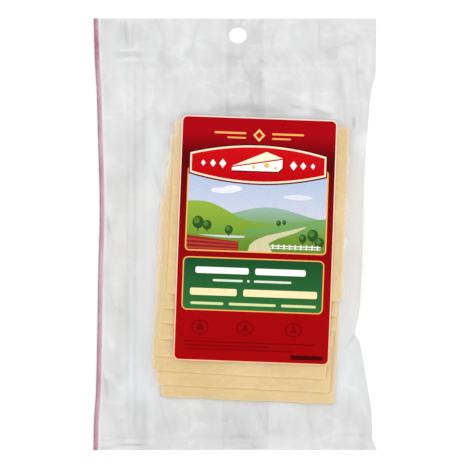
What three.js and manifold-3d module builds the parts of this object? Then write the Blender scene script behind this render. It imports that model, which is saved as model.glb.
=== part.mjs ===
// Pack of sliced cheese: a clear press-to-close bag with a shingled stack of slices inside and a
// printed front label. Millimetres, +X to the shown right, +Y to the header with the hang hole,
// +Z up out of the shown side. The pack lies on its back on z = 0.
import * as THREE from "three";
import { mergeVertices } from "three/addons/utils/BufferGeometryUtils.js";
import Module from "manifold-3d";

const wasm = await Module();
wasm.setup();
const DEG = Math.PI / 180;

// Bag, flat sizes
const BAG_HALF_LENGTH = 116;
const HEADER_SEAL_FROM_Y = 88.3;
const BOTTOM_SEAL_TO_Y = -106.4;
const SHEET = 0.8; // two welded films, thickened so that they make a solid
const BACK_Z = 0; // the back film and the fin seal folded on it, where they rest
const SEAL_Z = BACK_Z + SHEET;

// Side outline of the bag as stations [y, x], straight or smooth between them
const LEFT_OUTLINE = [
  [-116, -76.6],
  [-101, -76.3],
  [-84, -75.2],
  [-58, -74.6],
  [-20, -74.0],
  [13, -73.2],
  [50, -74.1],
  [76, -74.8],
  [93, -75.8],
  [116, -76.5],
];
const RIGHT_OUTLINE = [
  [-116, 75.8],
  [-109, 73.3],
  [-97, 73.0],
  [-80, 70.4],
  [-62, 67.4],
  [-57.5, 66.3],
  [-53.6, 63.8], // the pinch where the film folds in toward the stack
  [-49, 64.8],
  [-40, 66.4],
  [-15, 67.8],
  [28, 68.9],
  [58, 71.0],
  [76, 72.6],
  [88, 75.2],
  [116, 75.5],
];

// Edge strip, the narrow coloured band down the left edge
const STRIP_WIDTH = 2.3;
const STRIP_GAP = 0.3;
const STRIP_THICKNESS = 0.9;

// Press-to-close zip
const ZIP_LEFT = -59.6;
const ZIP_RIGHT = -47.8;
const ZIP_FROM_Y = -107.0;
const ZIP_TO_Y = 91.4;
const ZIP_BED_Z = 0.6; // the bottom of its seat in the bag
const ZIP_GAP = 0.3;
const ZIP_FLANGE = 0.7;
const ZIP_RIB_HEIGHT = 1.1;
const ZIP_RIB_WIDTH = 1.7;
const ZIP_RIB_CENTRES = [-57.2, -53.2];
const ZIP_EDGE_BEAD = 0.35;
const ZIP_SEAT_TOP = 2.3; // the film's height at both sides of the zip

// The zip's ends, crushed wide and flat where they are welded into the seals
const CRUSH_LEFT = -65.4;
const CRUSH_RIGHT = -46.3;
const CRUSH_PROUD = 0.35;
const CRUSH_RIDGE = 0.3;
const CRUSH_RIDGE_WIDTH = 1.2;
const CRUSH_TOP = [92.6, 101.0];
const CRUSH_TOP_RIDGES = [93.9, 99.2];
const CRUSH_FOOT = [-115.2, -107.7];
const CRUSH_FOOT_RIDGES = [-114.2, -111.0];
const FLAT_STRIP_RIGHT = -48.8; // the flattened zip between the crushed end and the top edge
const FLAT_STRIP_PROUD = 0.2;

// Slices: eight, shingled down the bag. Each row is a slice's upper left corner and turn
const SLICE_SIDE = 94;
const SLICE_THICKNESS = 2.2;
const SLICE_CORNERS = [
  [-36.7, 6.4, -2.5], // the lowest slice, nearest the back
  [-38.8, 13.0, -2.7],
  [-40.3, 20.6, -3.1],
  [-38.7, 28.4, -2.9],
  [-37.2, 37.5, -3.0],
  [-36.2, 46.2, -2.8],
  [-35.2, 54.2, -2.9],
  [-32.8, 62.0, -2.6], // the uppermost slice, under the label
];
const FILM_OVER_SLICES = 0.6;
const EDGE_SOFTNESS = 1.1; // how far from its edge a slice reaches full thickness
const STACK_LEAN = Math.tan(-2.9 * DEG); // the slices' edges against the bag's

// Film as a stretched sheet: laid over the slices, held down at the seals and at the zip
const FILM_ROUNDS = 900;
const AIR_LIFT = 0.012; // per mm: the little air that keeps the film off the back
const CLING = 0.05; // per mm: how the film settles into the steps beside the label

// Crimp lines of the bottom seal
const CRIMPS = 4;
const CRIMP_HEIGHT = 0.25;

// Hang hole
const HOLE_X = 1.1;
const HOLE_Y = 106.9;
const HOLE_RADIUS_X = 4.7;
const HOLE_RADIUS_Y = 4.1;

// Back fin seal, a flap folded flat along the back, as half widths about its middle
const FIN_MIDDLE_X = 5.0;
const FIN_HALF_TOP = 9.7;
const FIN_HALF_BOTTOM = 12.6;
const FIN_THICKNESS = 0.35; // the gap under the back film beside the fin's edges
const FIN_TENT = 2.6; // how far from the fin the back film comes down again

// Front label
const LABEL_CENTRE = [10.5, -2.7];
const LABEL_WIDTH = 82.6;
const LABEL_LENGTH = 131.0;
const LABEL_TURN = -2.1 * DEG;
const LABEL_CORNER = 3.0;
const LABEL_THICKNESS = 0.5;
const LABEL_GAP = 0.35;
const LABEL_COLUMNS = 20;
const LABEL_ROWS = 42;

// Everything is laid out about the stack and moved at the end, so that the pack is centred on X
const CENTRE_SHIFT = 0.4;

// Smooth curve through stations [at, value], with no overshoot
function through(stations, at) {
  const last = stations.length - 1;
  if (at <= stations[0][0]) return stations[0][1];
  if (at >= stations[last][0]) return stations[last][1];
  let k = 0;
  while (stations[k + 1][0] < at) k++;
  const step = (j) =>
    (stations[j + 1][1] - stations[j][1]) / (stations[j + 1][0] - stations[j][0]);
  const slope = (j) => {
    if (j === 0 || j === last) return 0;
    const a = step(j - 1);
    const b = step(j);
    return a * b > 0 ? (2 * a * b) / (a + b) : 0;
  };
  const span = stations[k + 1][0] - stations[k][0];
  const t = (at - stations[k][0]) / span;
  const rise = stations[k + 1][1] - stations[k][1];
  const s0 = slope(k) * span;
  const s1 = slope(k + 1) * span;
  return (
    stations[k][1] +
    s0 * t +
    (3 * rise - 2 * s0 - s1) * t * t +
    (s0 + s1 - 2 * rise) * t * t * t
  );
}

function smooth(from, to, at) {
  const t = Math.min(1, Math.max(0, (at - from) / (to - from)));
  return t * t * (3 - 2 * t);
}

const leftEdge = (y) => through(LEFT_OUTLINE, y);
const rightEdge = (y) => through(RIGHT_OUTLINE, y);
const filmLeft = (y) => leftEdge(y) + STRIP_WIDTH + STRIP_GAP;

// Slices as turned squares
const slices = SLICE_CORNERS.map(([x, y, turn]) => {
  const c = Math.cos(turn * DEG);
  const s = Math.sin(turn * DEG);
  const half = SLICE_SIDE / 2;
  return { x: x + half * (c + s), y: y + half * (s - c), c, s };
});

// How much of its thickness a slice has at a point: 0 outside it, 1 inside
function covers(slice, x, y) {
  const dx = x - slice.x;
  const dy = y - slice.y;
  const along = Math.abs(dx * slice.c + dy * slice.s);
  const across = Math.abs(-dx * slice.s + dy * slice.c);
  return smooth(0, EDGE_SOFTNESS, SLICE_SIDE / 2 - Math.max(along, across));
}

const stackHeight = (x, y) =>
  slices.reduce((sum, slice) => sum + SLICE_THICKNESS * covers(slice, x, y), 0);

// The stack's own left and right sides, as the film's columns follow them
function stackSides(y) {
  let left = Infinity;
  let right = -Infinity;
  const low = slices[0].y - SLICE_SIDE / 2 + 1;
  const high = slices[slices.length - 1].y + SLICE_SIDE / 2 - 1;
  const at = Math.min(high, Math.max(low, y));
  for (const slice of slices) {
    if (Math.abs(at - slice.y) > SLICE_SIDE / 2) continue;
    const middle = slice.x + (at - slice.y) * -slice.s;
    left = Math.min(left, middle - SLICE_SIDE / 2);
    right = Math.max(right, middle + SLICE_SIDE / 2);
  }
  return [left, right];
}

// Sides averaged over a few millimetres, so that the columns run smoothly past the slice ends
function smoothSides(y) {
  const sum = [0, 0];
  const span = 4;
  for (let k = -span; k <= span; k++) {
    const sides = stackSides(y + 2 * k);
    sum[0] += sides[0] / (2 * span + 1);
    sum[1] += sides[1] / (2 * span + 1);
  }
  return sum;
}

// Rows of the film's grid: [from, to, how many], denser at the steps between slices
function spread(pieces) {
  const out = [pieces[0][0]];
  for (const [from, to, count] of pieces) {
    for (let k = 1; k <= count; k++) out.push(from + ((to - from) * k) / count);
  }
  return out;
}
const STACK_LOW_Y = -89.6;
const STACK_HIGH_Y = 59.8;
const rowsAt = spread([
  [-BAG_HALF_LENGTH, BOTTOM_SEAL_TO_Y, 2 * CRIMPS + 2],
  [BOTTOM_SEAL_TO_Y, STACK_LOW_Y, 4],
  [STACK_LOW_Y, -32, 20],
  [-32, 4, 7],
  [4, STACK_HIGH_Y, 14],
  [STACK_HIGH_Y, HEADER_SEAL_FROM_Y, 7],
  [HEADER_SEAL_FROM_Y, BAG_HALF_LENGTH, 5],
]);
const columnCounts = [4, 4, 3, 20, 7];

// Where the rows lean with the slices, and where they are square with the seals
const lean = (y) =>
  STACK_LEAN * smooth(BOTTOM_SEAL_TO_Y, STACK_LOW_Y + 4, y) *
  smooth(HEADER_SEAL_FROM_Y, STACK_HIGH_Y - 4, y);

function columnsAt(y) {
  const [left, right] = smoothSides(y);
  const stops = [filmLeft(y), ZIP_LEFT, ZIP_RIGHT, left - 0.4, right + 0.4, rightEdge(y)];
  return spread(columnCounts.map((count, k) => [stops[k], stops[k + 1], count]));
}

const COLUMNS = columnCounts.reduce((a, b) => a + b, 0) + 1;
const ROWS = rowsAt.length;
const index = (i, j) => j * COLUMNS + i;
const MIDDLE_X = 8;
const gx = new Float64Array(COLUMNS * ROWS);
const gy = new Float64Array(COLUMNS * ROWS);
rowsAt.forEach((y0, j) => {
  columnsAt(y0).forEach((x, i) => {
    gx[index(i, j)] = x;
    gy[index(i, j)] = y0 + lean(y0) * (x - MIDDLE_X);
  });
});

// The label's own axes, and whether it stiffens the film at a point
function onLabel(x, y) {
  const dx = x - LABEL_CENTRE[0];
  const dy = y - LABEL_CENTRE[1];
  const across = dx * Math.cos(LABEL_TURN) + dy * Math.sin(LABEL_TURN);
  const along = -dx * Math.sin(LABEL_TURN) + dy * Math.cos(LABEL_TURN);
  return Math.abs(across) < LABEL_WIDTH / 2 + 1 && Math.abs(along) < LABEL_LENGTH / 2 + 1;
}

// Height of the film's upper face at each grid point
const height = new Float64Array(COLUMNS * ROWS);
const floorAt = new Float64Array(COLUMNS * ROWS);
const held = new Uint8Array(COLUMNS * ROWS);
const zipFrom = columnCounts[0];
const zipTo = columnCounts[0] + columnCounts[1];
for (let j = 0; j < ROWS; j++) {
  for (let i = 0; i < COLUMNS; i++) {
    const n = index(i, j);
    const stack = stackHeight(gx[n], gy[n]);
    const inSeal =
      rowsAt[j] <= BOTTOM_SEAL_TO_Y + 0.01 || rowsAt[j] >= HEADER_SEAL_FROM_Y - 0.01;
    const atEdge = i === 0 || i === COLUMNS - 1;
    const atZip = i >= zipFrom && i <= zipTo;
    floorAt[n] = SEAL_Z + (stack > 0 ? stack + FILM_OVER_SLICES * smooth(0, 1, stack) : 0);
    height[n] = floorAt[n];
    if (inSeal || atEdge) {
      held[n] = 1;
      height[n] = SEAL_Z;
    } else if (atZip) {
      held[n] = 1;
      const near = Math.min(
        smooth(BOTTOM_SEAL_TO_Y, BOTTOM_SEAL_TO_Y + 9, gy[n]),
        smooth(HEADER_SEAL_FROM_Y, HEADER_SEAL_FROM_Y - 9, gy[n]),
      );
      height[n] = SEAL_Z + (ZIP_SEAT_TOP - SEAL_Z) * near;
    }
  }
}
const distance = (a, b) => Math.hypot(gx[a] - gx[b], gy[a] - gy[b]);
for (let round = 0; round < FILM_ROUNDS; round++) {
  for (let j = 1; j < ROWS - 1; j++) {
    for (let i = 1; i < COLUMNS - 1; i++) {
      const n = index(i, j);
      if (held[n]) continue;
      let sum = 0;
      let weight = 0;
      let reach = 0;
      const beside = [index(i - 1, j), index(i + 1, j), index(i, j - 1), index(i, j + 1)];
      beside.forEach((m, k) => {
        const d = distance(n, m);
        const w = distance(beside[k ^ 1], n) / d;
        sum += w * height[m];
        weight += w;
        reach = Math.max(reach, d);
      });
      const over = floorAt[n] > SEAL_Z + 0.5;
      const load = onLabel(gx[n], gy[n]) ? 0 : over ? -CLING : AIR_LIFT;
      const wanted = sum / weight + load * reach * reach * 0.25;
      const next = height[n] + 1.6 * (wanted - height[n]);
      height[n] = Math.max(floorAt[n], next);
    }
  }
}
for (let j = 1; j <= 2 * CRIMPS; j++) {
  if (j % 2 === 0) continue;
  for (let i = 1; i < COLUMNS - 1; i++) height[index(i, j)] += CRIMP_HEIGHT;
}

// The film's height at any point, by finding its place in the leaning grid
function filmHeight(x, y) {
  let y0 = y;
  for (let k = 0; k < 12; k++) y0 = y - lean(y0) * (x - MIDDLE_X);
  let j = 0;
  while (j < ROWS - 2 && rowsAt[j + 1] < y0) j++;
  const b = Math.min(1, Math.max(0, (y0 - rowsAt[j]) / (rowsAt[j + 1] - rowsAt[j])));
  const xAt = (i) => gx[index(i, j)] * (1 - b) + gx[index(i, j + 1)] * b;
  let i = 0;
  while (i < COLUMNS - 2 && xAt(i + 1) < x) i++;
  const a = Math.min(1, Math.max(0, (x - xAt(i)) / (xAt(i + 1) - xAt(i))));
  const low = height[index(i, j)] * (1 - a) + height[index(i + 1, j)] * a;
  const high = height[index(i, j + 1)] * (1 - a) + height[index(i + 1, j + 1)] * a;
  return low * (1 - b) + high * b;
}

function geometryOf(points, faces) {
  const geometry = new THREE.BufferGeometry();
  geometry.setAttribute("position", new THREE.Float32BufferAttribute(points, 3));
  geometry.setIndex(faces);
  return geometry;
}

function solidOf(geometry) {
  const bare = geometry.clone();
  bare.deleteAttribute("normal");
  bare.deleteAttribute("uv");
  const merged = mergeVertices(bare, 1e-4);
  const solid = new wasm.Manifold(
    new wasm.Mesh({
      numProp: 3,
      vertProperties: new Float32Array(merged.attributes.position.array),
      triVerts: new Uint32Array(merged.index.array),
    }),
  );
  return solid;
}

function geometryFrom(solid) {
  const mesh = solid.getMesh();
  return geometryOf(Array.from(mesh.vertProperties), Array.from(mesh.triVerts));
}

function box(x0, x1, y0, y1, z0, z1) {
  const geometry = new THREE.BoxGeometry(x1 - x0, y1 - y0, z1 - z0);
  geometry.translate((x0 + x1) / 2, (y0 + y1) / 2, (z0 + z1) / 2);
  return solidOf(geometry);
}

// A flat outline given a thickness, the outline anticlockwise seen from above
function plate(outline, z0, z1) {
  const count = outline.length;
  const points = [];
  for (const z of [z0, z1]) for (const [x, y] of outline) points.push(x, y, z);
  const faces = [];
  const flat = THREE.ShapeUtils.triangulateShape(
    outline.map(([x, y]) => new THREE.Vector2(x, y)),
    [],
  );
  for (const [a, b, c] of flat) {
    faces.push(c, b, a);
    faces.push(a + count, b + count, c + count);
  }
  for (let k = 0; k < count; k++) {
    const next = (k + 1) % count;
    faces.push(k, next, next + count, k, next + count, k + count);
  }
  return solidOf(geometryOf(points, faces));
}

// A long wedge under the back: each end is [x at the fin, x where it thins out, y]
function wedge(low, high, depth) {
  const under = -0.2;
  const points = [];
  for (const [near, far, y] of [low, high]) {
    points.push(near, y, under, near, y, depth, far, y, 0.01, far, y, under);
  }
  const faces = [];
  const quads = [
    [0, 4, 5, 1],
    [1, 5, 6, 2],
    [2, 6, 7, 3],
    [3, 7, 4, 0],
    [0, 1, 2, 3],
    [7, 6, 5, 4],
  ];
  const leftward = high[1] < high[0];
  for (const [a, b, c, d] of quads) {
    if (leftward) faces.push(a, b, c, a, c, d);
    else faces.push(c, b, a, d, c, a);
  }
  return solidOf(geometryOf(points, faces));
}

// A sheet on a grid of points, closed below by lowerOf
function closedSheet(columns, rows, topOf, bottomOf) {
  const points = [];
  const faces = [];
  const size = columns * rows;
  for (const at of [topOf, bottomOf]) {
    for (let j = 0; j < rows; j++) for (let i = 0; i < columns; i++) points.push(...at(i, j));
  }
  const p = (i, j) => j * columns + i;
  for (let j = 0; j < rows - 1; j++) {
    for (let i = 0; i < columns - 1; i++) {
      const [a, b, c, d] = [p(i, j), p(i + 1, j), p(i + 1, j + 1), p(i, j + 1)];
      faces.push(a, b, c, a, c, d);
      faces.push(c + size, b + size, a + size, d + size, c + size, a + size);
    }
  }
  const rim = [];
  for (let i = 0; i < columns - 1; i++) rim.push(p(i, 0));
  for (let j = 0; j < rows - 1; j++) rim.push(p(columns - 1, j));
  for (let i = columns - 1; i > 0; i--) rim.push(p(i, rows - 1));
  for (let j = rows - 1; j > 0; j--) rim.push(p(0, j));
  rim.forEach((a, k) => {
    const b = rim[(k + 1) % rim.length];
    faces.push(a + size, b + size, b, a + size, b, a);
  });
  return geometryOf(points, faces);
}

// Bag: the film's grid above, a flat back below, and a straight rim between them
function makeBag() {
  const points = [];
  const faces = [];
  for (let n = 0; n < COLUMNS * ROWS; n++) points.push(gx[n], gy[n], height[n]);
  for (let j = 0; j < ROWS - 1; j++) {
    for (let i = 0; i < COLUMNS - 1; i++) {
      const [a, b] = [index(i, j), index(i + 1, j)];
      const [c, d] = [index(i + 1, j + 1), index(i, j + 1)];
      faces.push(a, b, c, a, c, d);
    }
  }
  const rim = [];
  for (let i = 0; i < COLUMNS - 1; i++) rim.push(index(i, 0));
  for (let j = 0; j < ROWS - 1; j++) rim.push(index(COLUMNS - 1, j));
  for (let i = COLUMNS - 1; i > 0; i--) rim.push(index(i, ROWS - 1));
  for (let j = ROWS - 1; j > 0; j--) rim.push(index(0, j));
  const first = COLUMNS * ROWS;
  for (const n of rim) points.push(gx[n], gy[n], BACK_Z);
  rim.forEach((n, k) => {
    const next = (k + 1) % rim.length;
    faces.push(first + k, first + next, rim[next], first + k, rim[next], n);
  });
  // The back: a fan at each end row, and straight bands from side to side between them
  const back = new Map(rim.map((n, k) => [n, first + k]));
  const low = (i, j) => back.get(index(i, j));
  const [right, top] = [COLUMNS - 1, ROWS - 1];
  for (let i = 0; i < right; i++) {
    faces.push(low(i + 1, 0), low(i, 0), low(0, 1));
    faces.push(low(i, top), low(i + 1, top), low(0, top - 1));
  }
  faces.push(low(right, 0), low(0, 1), low(right, 1));
  faces.push(low(right, top), low(right, top - 1), low(0, top - 1));
  for (let j = 1; j < top - 1; j++) {
    faces.push(low(0, j), low(right, j + 1), low(right, j));
    faces.push(low(0, j), low(0, j + 1), low(right, j + 1));
  }
  let bag = solidOf(geometryOf(points, faces));

  // The folded fin seal lifts the back film, which comes down again a little way beside it
  const end = BAG_HALF_LENGTH - 1;
  for (const side of [-1, 1]) {
    const edge = (half) => FIN_MIDDLE_X + side * half;
    bag = bag.subtract(
      wedge(
        [edge(FIN_HALF_BOTTOM), edge(FIN_HALF_BOTTOM) + side * FIN_TENT, -end],
        [edge(FIN_HALF_TOP), edge(FIN_HALF_TOP) + side * FIN_TENT, end],
        FIN_THICKNESS,
      ),
    );
  }

  // The zip's crushed ends and flattened strip
  const pad = SEAL_Z + CRUSH_PROUD;
  const ridge = pad + CRUSH_RIDGE;
  const inside = SEAL_Z - 0.3;
  for (const [[from, to], ridges] of [
    [CRUSH_TOP, CRUSH_TOP_RIDGES],
    [CRUSH_FOOT, CRUSH_FOOT_RIDGES],
  ]) {
    bag = bag.add(box(CRUSH_LEFT, CRUSH_RIGHT, from, to, inside, pad));
    for (const y of ridges) {
      const [y0, y1] = [y - CRUSH_RIDGE_WIDTH / 2, y + CRUSH_RIDGE_WIDTH / 2];
      bag = bag.add(box(CRUSH_LEFT + 0.6, CRUSH_RIGHT - 3, y0, y1, inside, ridge));
    }
  }
  bag = bag.add(
    box(
      CRUSH_LEFT + 0.3,
      FLAT_STRIP_RIGHT,
      CRUSH_TOP[1] - 0.4,
      BAG_HALF_LENGTH - 0.9,
      inside,
      SEAL_Z + FLAT_STRIP_PROUD,
    ),
  );

  // Seat for the zip, and the hang hole
  const seat = box(
    ZIP_LEFT - ZIP_GAP,
    ZIP_RIGHT + ZIP_GAP,
    ZIP_FROM_Y - ZIP_GAP,
    ZIP_TO_Y + ZIP_GAP,
    ZIP_BED_Z,
    ZIP_SEAT_TOP + 4,
  );
  const punch = new THREE.CylinderGeometry(1, 1, 8, 32);
  punch.rotateX(Math.PI / 2);
  punch.scale(HOLE_RADIUS_X, HOLE_RADIUS_Y, 1);
  punch.translate(HOLE_X, HOLE_Y, 0);
  return geometryFrom(bag.subtract(seat).subtract(solidOf(punch)));
}

// Zip: a flat band with two beaded borders and two locking ribs
function makeZip() {
  const z0 = ZIP_BED_Z + ZIP_GAP;
  const z1 = z0 + ZIP_FLANGE;
  let zip = box(ZIP_LEFT, ZIP_RIGHT, ZIP_FROM_Y, ZIP_TO_Y, z0, z1);
  for (const x of ZIP_RIB_CENTRES) {
    const half = ZIP_RIB_WIDTH / 2;
    const top = z1 + ZIP_RIB_HEIGHT;
    zip = zip.add(box(x - half, x + half, ZIP_FROM_Y, ZIP_TO_Y, z1 - 0.2, top));
    zip = zip.add(
      box(x - half / 2, x + half / 2, ZIP_FROM_Y, ZIP_TO_Y, top - 0.2, top + 0.25),
    );
  }
  for (const x of [ZIP_LEFT + 0.01, ZIP_RIGHT - 0.81]) {
    zip = zip.add(box(x, x + 0.8, ZIP_FROM_Y, ZIP_TO_Y, z1 - 0.2, z1 + ZIP_EDGE_BEAD));
  }
  return geometryFrom(zip);
}

// Edge strip: a narrow band that follows the bag's left edge
function makeStrip() {
  const outer = [];
  const inner = [];
  const stations = 24;
  for (let k = 0; k <= stations; k++) {
    const y = -BAG_HALF_LENGTH + (2 * BAG_HALF_LENGTH * k) / stations;
    outer.push([leftEdge(y), y]);
    inner.push([leftEdge(y) + STRIP_WIDTH, y]);
  }
  const outline = inner.concat(outer.reverse());
  return geometryFrom(plate(outline, BACK_Z, BACK_Z + STRIP_THICKNESS));
}

// Label: a rounded sheet that lies on the film and follows it
function makeLabel() {
  const c = Math.cos(LABEL_TURN);
  const s = Math.sin(LABEL_TURN);
  const halfLength = LABEL_LENGTH / 2;
  const straight = halfLength - LABEL_CORNER;
  const corner = 4;
  const along = [];
  for (let k = 0; k <= corner; k++) {
    const turn = (Math.PI / 2) * (k / corner);
    along.push(-straight - LABEL_CORNER * Math.cos(turn));
  }
  for (let k = 1; k <= LABEL_ROWS; k++) along.push(-straight + (2 * straight * k) / LABEL_ROWS);
  for (let k = 1; k <= corner; k++) {
    const turn = (Math.PI / 2) * (k / corner);
    along.push(straight + LABEL_CORNER * Math.sin(turn));
  }
  const halfWidth = (t) => {
    const past = Math.max(0, Math.abs(t) - straight);
    const inset = LABEL_CORNER - Math.sqrt(Math.max(0, LABEL_CORNER ** 2 - past * past));
    return LABEL_WIDTH / 2 - inset;
  };
  const place = (i, j) => {
    const t = along[j];
    const w = halfWidth(t) * (-1 + (2 * i) / LABEL_COLUMNS);
    return [LABEL_CENTRE[0] + w * c - t * s, LABEL_CENTRE[1] + w * s + t * c];
  };
  // Lifted where the film bulges between two neighbouring points, so that no facet cuts into it
  const rows = along.length;
  const lift = new Float64Array((LABEL_COLUMNS + 1) * rows);
  const spot = (i, j) => j * (LABEL_COLUMNS + 1) + i;
  const filmAt = (i, j) => filmHeight(...place(i, j));
  const raise = (i0, j0, i1, j1) => {
    if (i1 < 0 || i1 > LABEL_COLUMNS || j1 >= rows) return;
    const [ax, ay] = place(i0, j0);
    const [bx, by] = place(i1, j1);
    let most = 0;
    for (const t of [0.25, 0.5, 0.75]) {
      const between = filmHeight(ax + t * (bx - ax), ay + t * (by - ay));
      most = Math.max(most, between - (1 - t) * filmAt(i0, j0) - t * filmAt(i1, j1));
    }
    for (const n of [spot(i0, j0), spot(i1, j1)]) lift[n] = Math.max(lift[n], most);
  };
  for (let j = 0; j < rows; j++) {
    for (let i = 0; i <= LABEL_COLUMNS; i++) {
      for (const [di, dj] of [[1, 0], [0, 1], [1, 1], [-1, 1]]) raise(i, j, i + di, j + dj);
    }
  }
  const under = (i, j) => [...place(i, j), filmAt(i, j) + lift[spot(i, j)] + LABEL_GAP];
  const over = (i, j) => {
    const [x, y, z] = under(i, j);
    return [x, y, z + LABEL_THICKNESS];
  };
  return closedSheet(LABEL_COLUMNS + 1, rows, over, under);
}

const group = new THREE.Group();
group.name = "cheese_pack";

function add(name, geometry, colour, roughness) {
  geometry.translate(CENTRE_SHIFT, 0, 0);
  geometry.computeVertexNormals();
  const material = new THREE.MeshStandardMaterial({ color: colour, roughness });
  const mesh = new THREE.Mesh(geometry, material);
  mesh.name = name;
  group.add(mesh);
}

add("bag", makeBag(), 0xe2e2e2, 0.3);
add("zip", makeZip(), 0xd8d8d8, 0.45);
add("edge_strip", makeStrip(), 0xb07090, 0.4);
add("front_label", makeLabel(), 0xb20812, 0.35);

export default group;
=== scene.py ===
import math

import bmesh
import bpy
import numpy as np
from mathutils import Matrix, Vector
from mathutils.geometry import delaunay_2d_cdt


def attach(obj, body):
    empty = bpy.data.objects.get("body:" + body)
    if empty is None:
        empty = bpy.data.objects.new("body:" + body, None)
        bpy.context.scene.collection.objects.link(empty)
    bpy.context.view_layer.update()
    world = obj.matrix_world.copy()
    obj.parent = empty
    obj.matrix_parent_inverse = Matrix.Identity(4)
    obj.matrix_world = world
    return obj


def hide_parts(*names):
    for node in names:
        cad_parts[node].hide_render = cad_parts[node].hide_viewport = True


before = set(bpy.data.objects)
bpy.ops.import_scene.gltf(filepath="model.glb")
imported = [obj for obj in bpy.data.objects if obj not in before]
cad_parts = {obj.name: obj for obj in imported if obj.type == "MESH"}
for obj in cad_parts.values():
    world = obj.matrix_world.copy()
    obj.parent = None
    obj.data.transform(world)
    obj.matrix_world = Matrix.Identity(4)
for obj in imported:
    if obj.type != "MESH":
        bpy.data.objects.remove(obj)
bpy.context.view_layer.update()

# Sizes are in millimetres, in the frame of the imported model, and turn into metres as a mesh is made
MM = 0.001

# Where a thing seen in the photograph lies on the pack: its middle column and row, and the scale
PHOTO_MIDDLE_COLUMN = 235.9
PHOTO_MIDDLE_ROW = 234.3
MM_PER_PIXEL = 0.5377
# How far right of that middle the box's own middle lies
CENTRE_SHIFT = 0.4

# The bag: its edges from the foot up, each as height and distance, and its heat seals
BAG_HALF_LENGTH = 116.0
LEFT_OUTLINE = [(-116, -76.6), (-101, -76.3), (-84, -75.2), (-58, -74.6), (-20, -74.0), (13, -73.2),
                (50, -74.1), (76, -74.8), (93, -75.8), (116, -76.5)]
RIGHT_OUTLINE = [(-116, 75.8), (-109, 73.3), (-97, 73.0), (-80, 70.4), (-62, 67.4), (-57.5, 66.3),
                 (-53.6, 63.8), (-49, 64.8), (-40, 66.4), (-15, 67.8), (28, 68.9), (58, 71.0),
                 (76, 72.6), (88, 75.2), (116, 75.5)]
HEADER_SEAL_FROM_Y = 88.3
BOTTOM_SEAL_TO_Y = -106.4
SEAL_Z = 0.75
HOLE_MIDDLE = (1.5, 106.9)
HOLE_RADIUS_X = 4.7
HOLE_RADIUS_Y = 4.1

# The coloured strip along the left edge, with how strong its colour is from the foot up
STRIP_WIDTH = 2.3
STRIP_THICKNESS = 0.8
STRIP_GAP = 0.05
STRIP_VIVID = [(-116, 0.6), (-108, 0.5), (-98, 0.1), (-84, 0.35), (-60, 0.35), (-45, 0.05), (30, 0.0),
               (80, 0.1), (93, 0.45), (99, 1.0), (105, 0.8), (111, 0.25), (116, 0.2)]

# The zip under the film
ZIP_LEFT = -59.2
ZIP_RIGHT = -47.4
ZIP_FROM_Y = -107.0
ZIP_TO_Y = 91.4
ZIP_FOOT_Z = 0.9
ZIP_FLANGE = 0.6
ZIP_RIB_CENTRES = (-56.8, -52.8)
ZIP_RIB_WIDTH = 1.7
ZIP_RIB_TOP_Z = 2.8

# The eight slices: the upper left corner of each and its turn in degrees, lowest first
SLICE_SIDE = 94.0
SLICE_THICKNESS = 2.2
SLICE_CORNER = 1.8
SLICE_SOFTNESS = 0.6
SLICE_WAVINESS = 0.6
SLICE_DIVISIONS = 61
SLICE_PITCH = 2.32
STACK_FOOT_Z = 0.5
SLICE_CORNERS = [(-36.3, 6.4, -2.5), (-38.4, 13.0, -2.7), (-39.9, 20.6, -3.1), (-38.3, 28.4, -2.9),
                 (-36.8, 37.5, -3.0), (-35.8, 46.2, -2.8), (-34.8, 54.2, -2.9), (-32.4, 62.0, -2.6)]
STACK_TURN = math.radians(-2.9)
FILM_OVER_SLICES = 0.35

# The label
LABEL_CENTRE = (10.85, -3.1)
LABEL_WIDTH = 83.5
LABEL_LENGTH = 131.6
LABEL_TURN = math.radians(-2.1)
LABEL_CORNER = 3.0
LABEL_THICKNESS = 0.22
LABEL_GAP = 0.12

# How far in and out from the heap's outline the film looks hazy, how far round a step painted light lifts
# the film's shade, and about how high the heap is, which scales the painted light beside it
HAZE_FROM = -5.0
HAZE_TO = 3.0
STEP_REACHES = (0.8, 1.6, 2.6, 3.8)
HEAP_HEIGHT = 16

# The lap seam down the back
FIN_MIDDLE_X = 5.4
FIN_HALF_TOP = 9.7
FIN_HALF_FOOT = 12.6
FIN_THICKNESS = 0.28
FIN_TENT = 2.6


def seen(column, row):
    """A place seen in the photograph, in millimetres on the pack."""
    return ((column - PHOTO_MIDDLE_COLUMN) * MM_PER_PIXEL + CENTRE_SHIFT,
            (PHOTO_MIDDLE_ROW - row) * MM_PER_PIXEL)


def through(points, at):
    """A smooth curve through points that never overshoots them."""
    known = np.array([p[0] for p in points], float)
    value = np.array([p[1] for p in points], float)
    step = np.diff(known)
    slope = np.diff(value) / step
    tangent = np.zeros(len(points))
    for i in range(1, len(points) - 1):
        if slope[i - 1] * slope[i] > 0:
            tangent[i] = 2 * slope[i - 1] * slope[i] / (slope[i - 1] + slope[i])
    tangent[0] = slope[0]
    tangent[-1] = slope[-1]
    at = np.clip(np.asarray(at, float), known[0], known[-1])
    i = np.clip(np.searchsorted(known, at) - 1, 0, len(step) - 1)
    t = (at - known[i]) / step[i]
    return ((2 * t ** 3 - 3 * t ** 2 + 1) * value[i] + (t ** 3 - 2 * t ** 2 + t) * step[i] * tangent[i]
            + (3 * t ** 2 - 2 * t ** 3) * value[i + 1] + (t ** 3 - t ** 2) * step[i] * tangent[i + 1])


def strip_left(y):
    return through(LEFT_OUTLINE, y) + CENTRE_SHIFT


def film_left(y):
    return strip_left(y) + STRIP_WIDTH + STRIP_GAP


def film_right(y):
    return through(RIGHT_OUTLINE, y) + CENTRE_SHIFT


def ramp(low, high, at):
    t = np.clip((at - low) / (high - low), 0, 1)
    return t * t * (3 - 2 * t)


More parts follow.
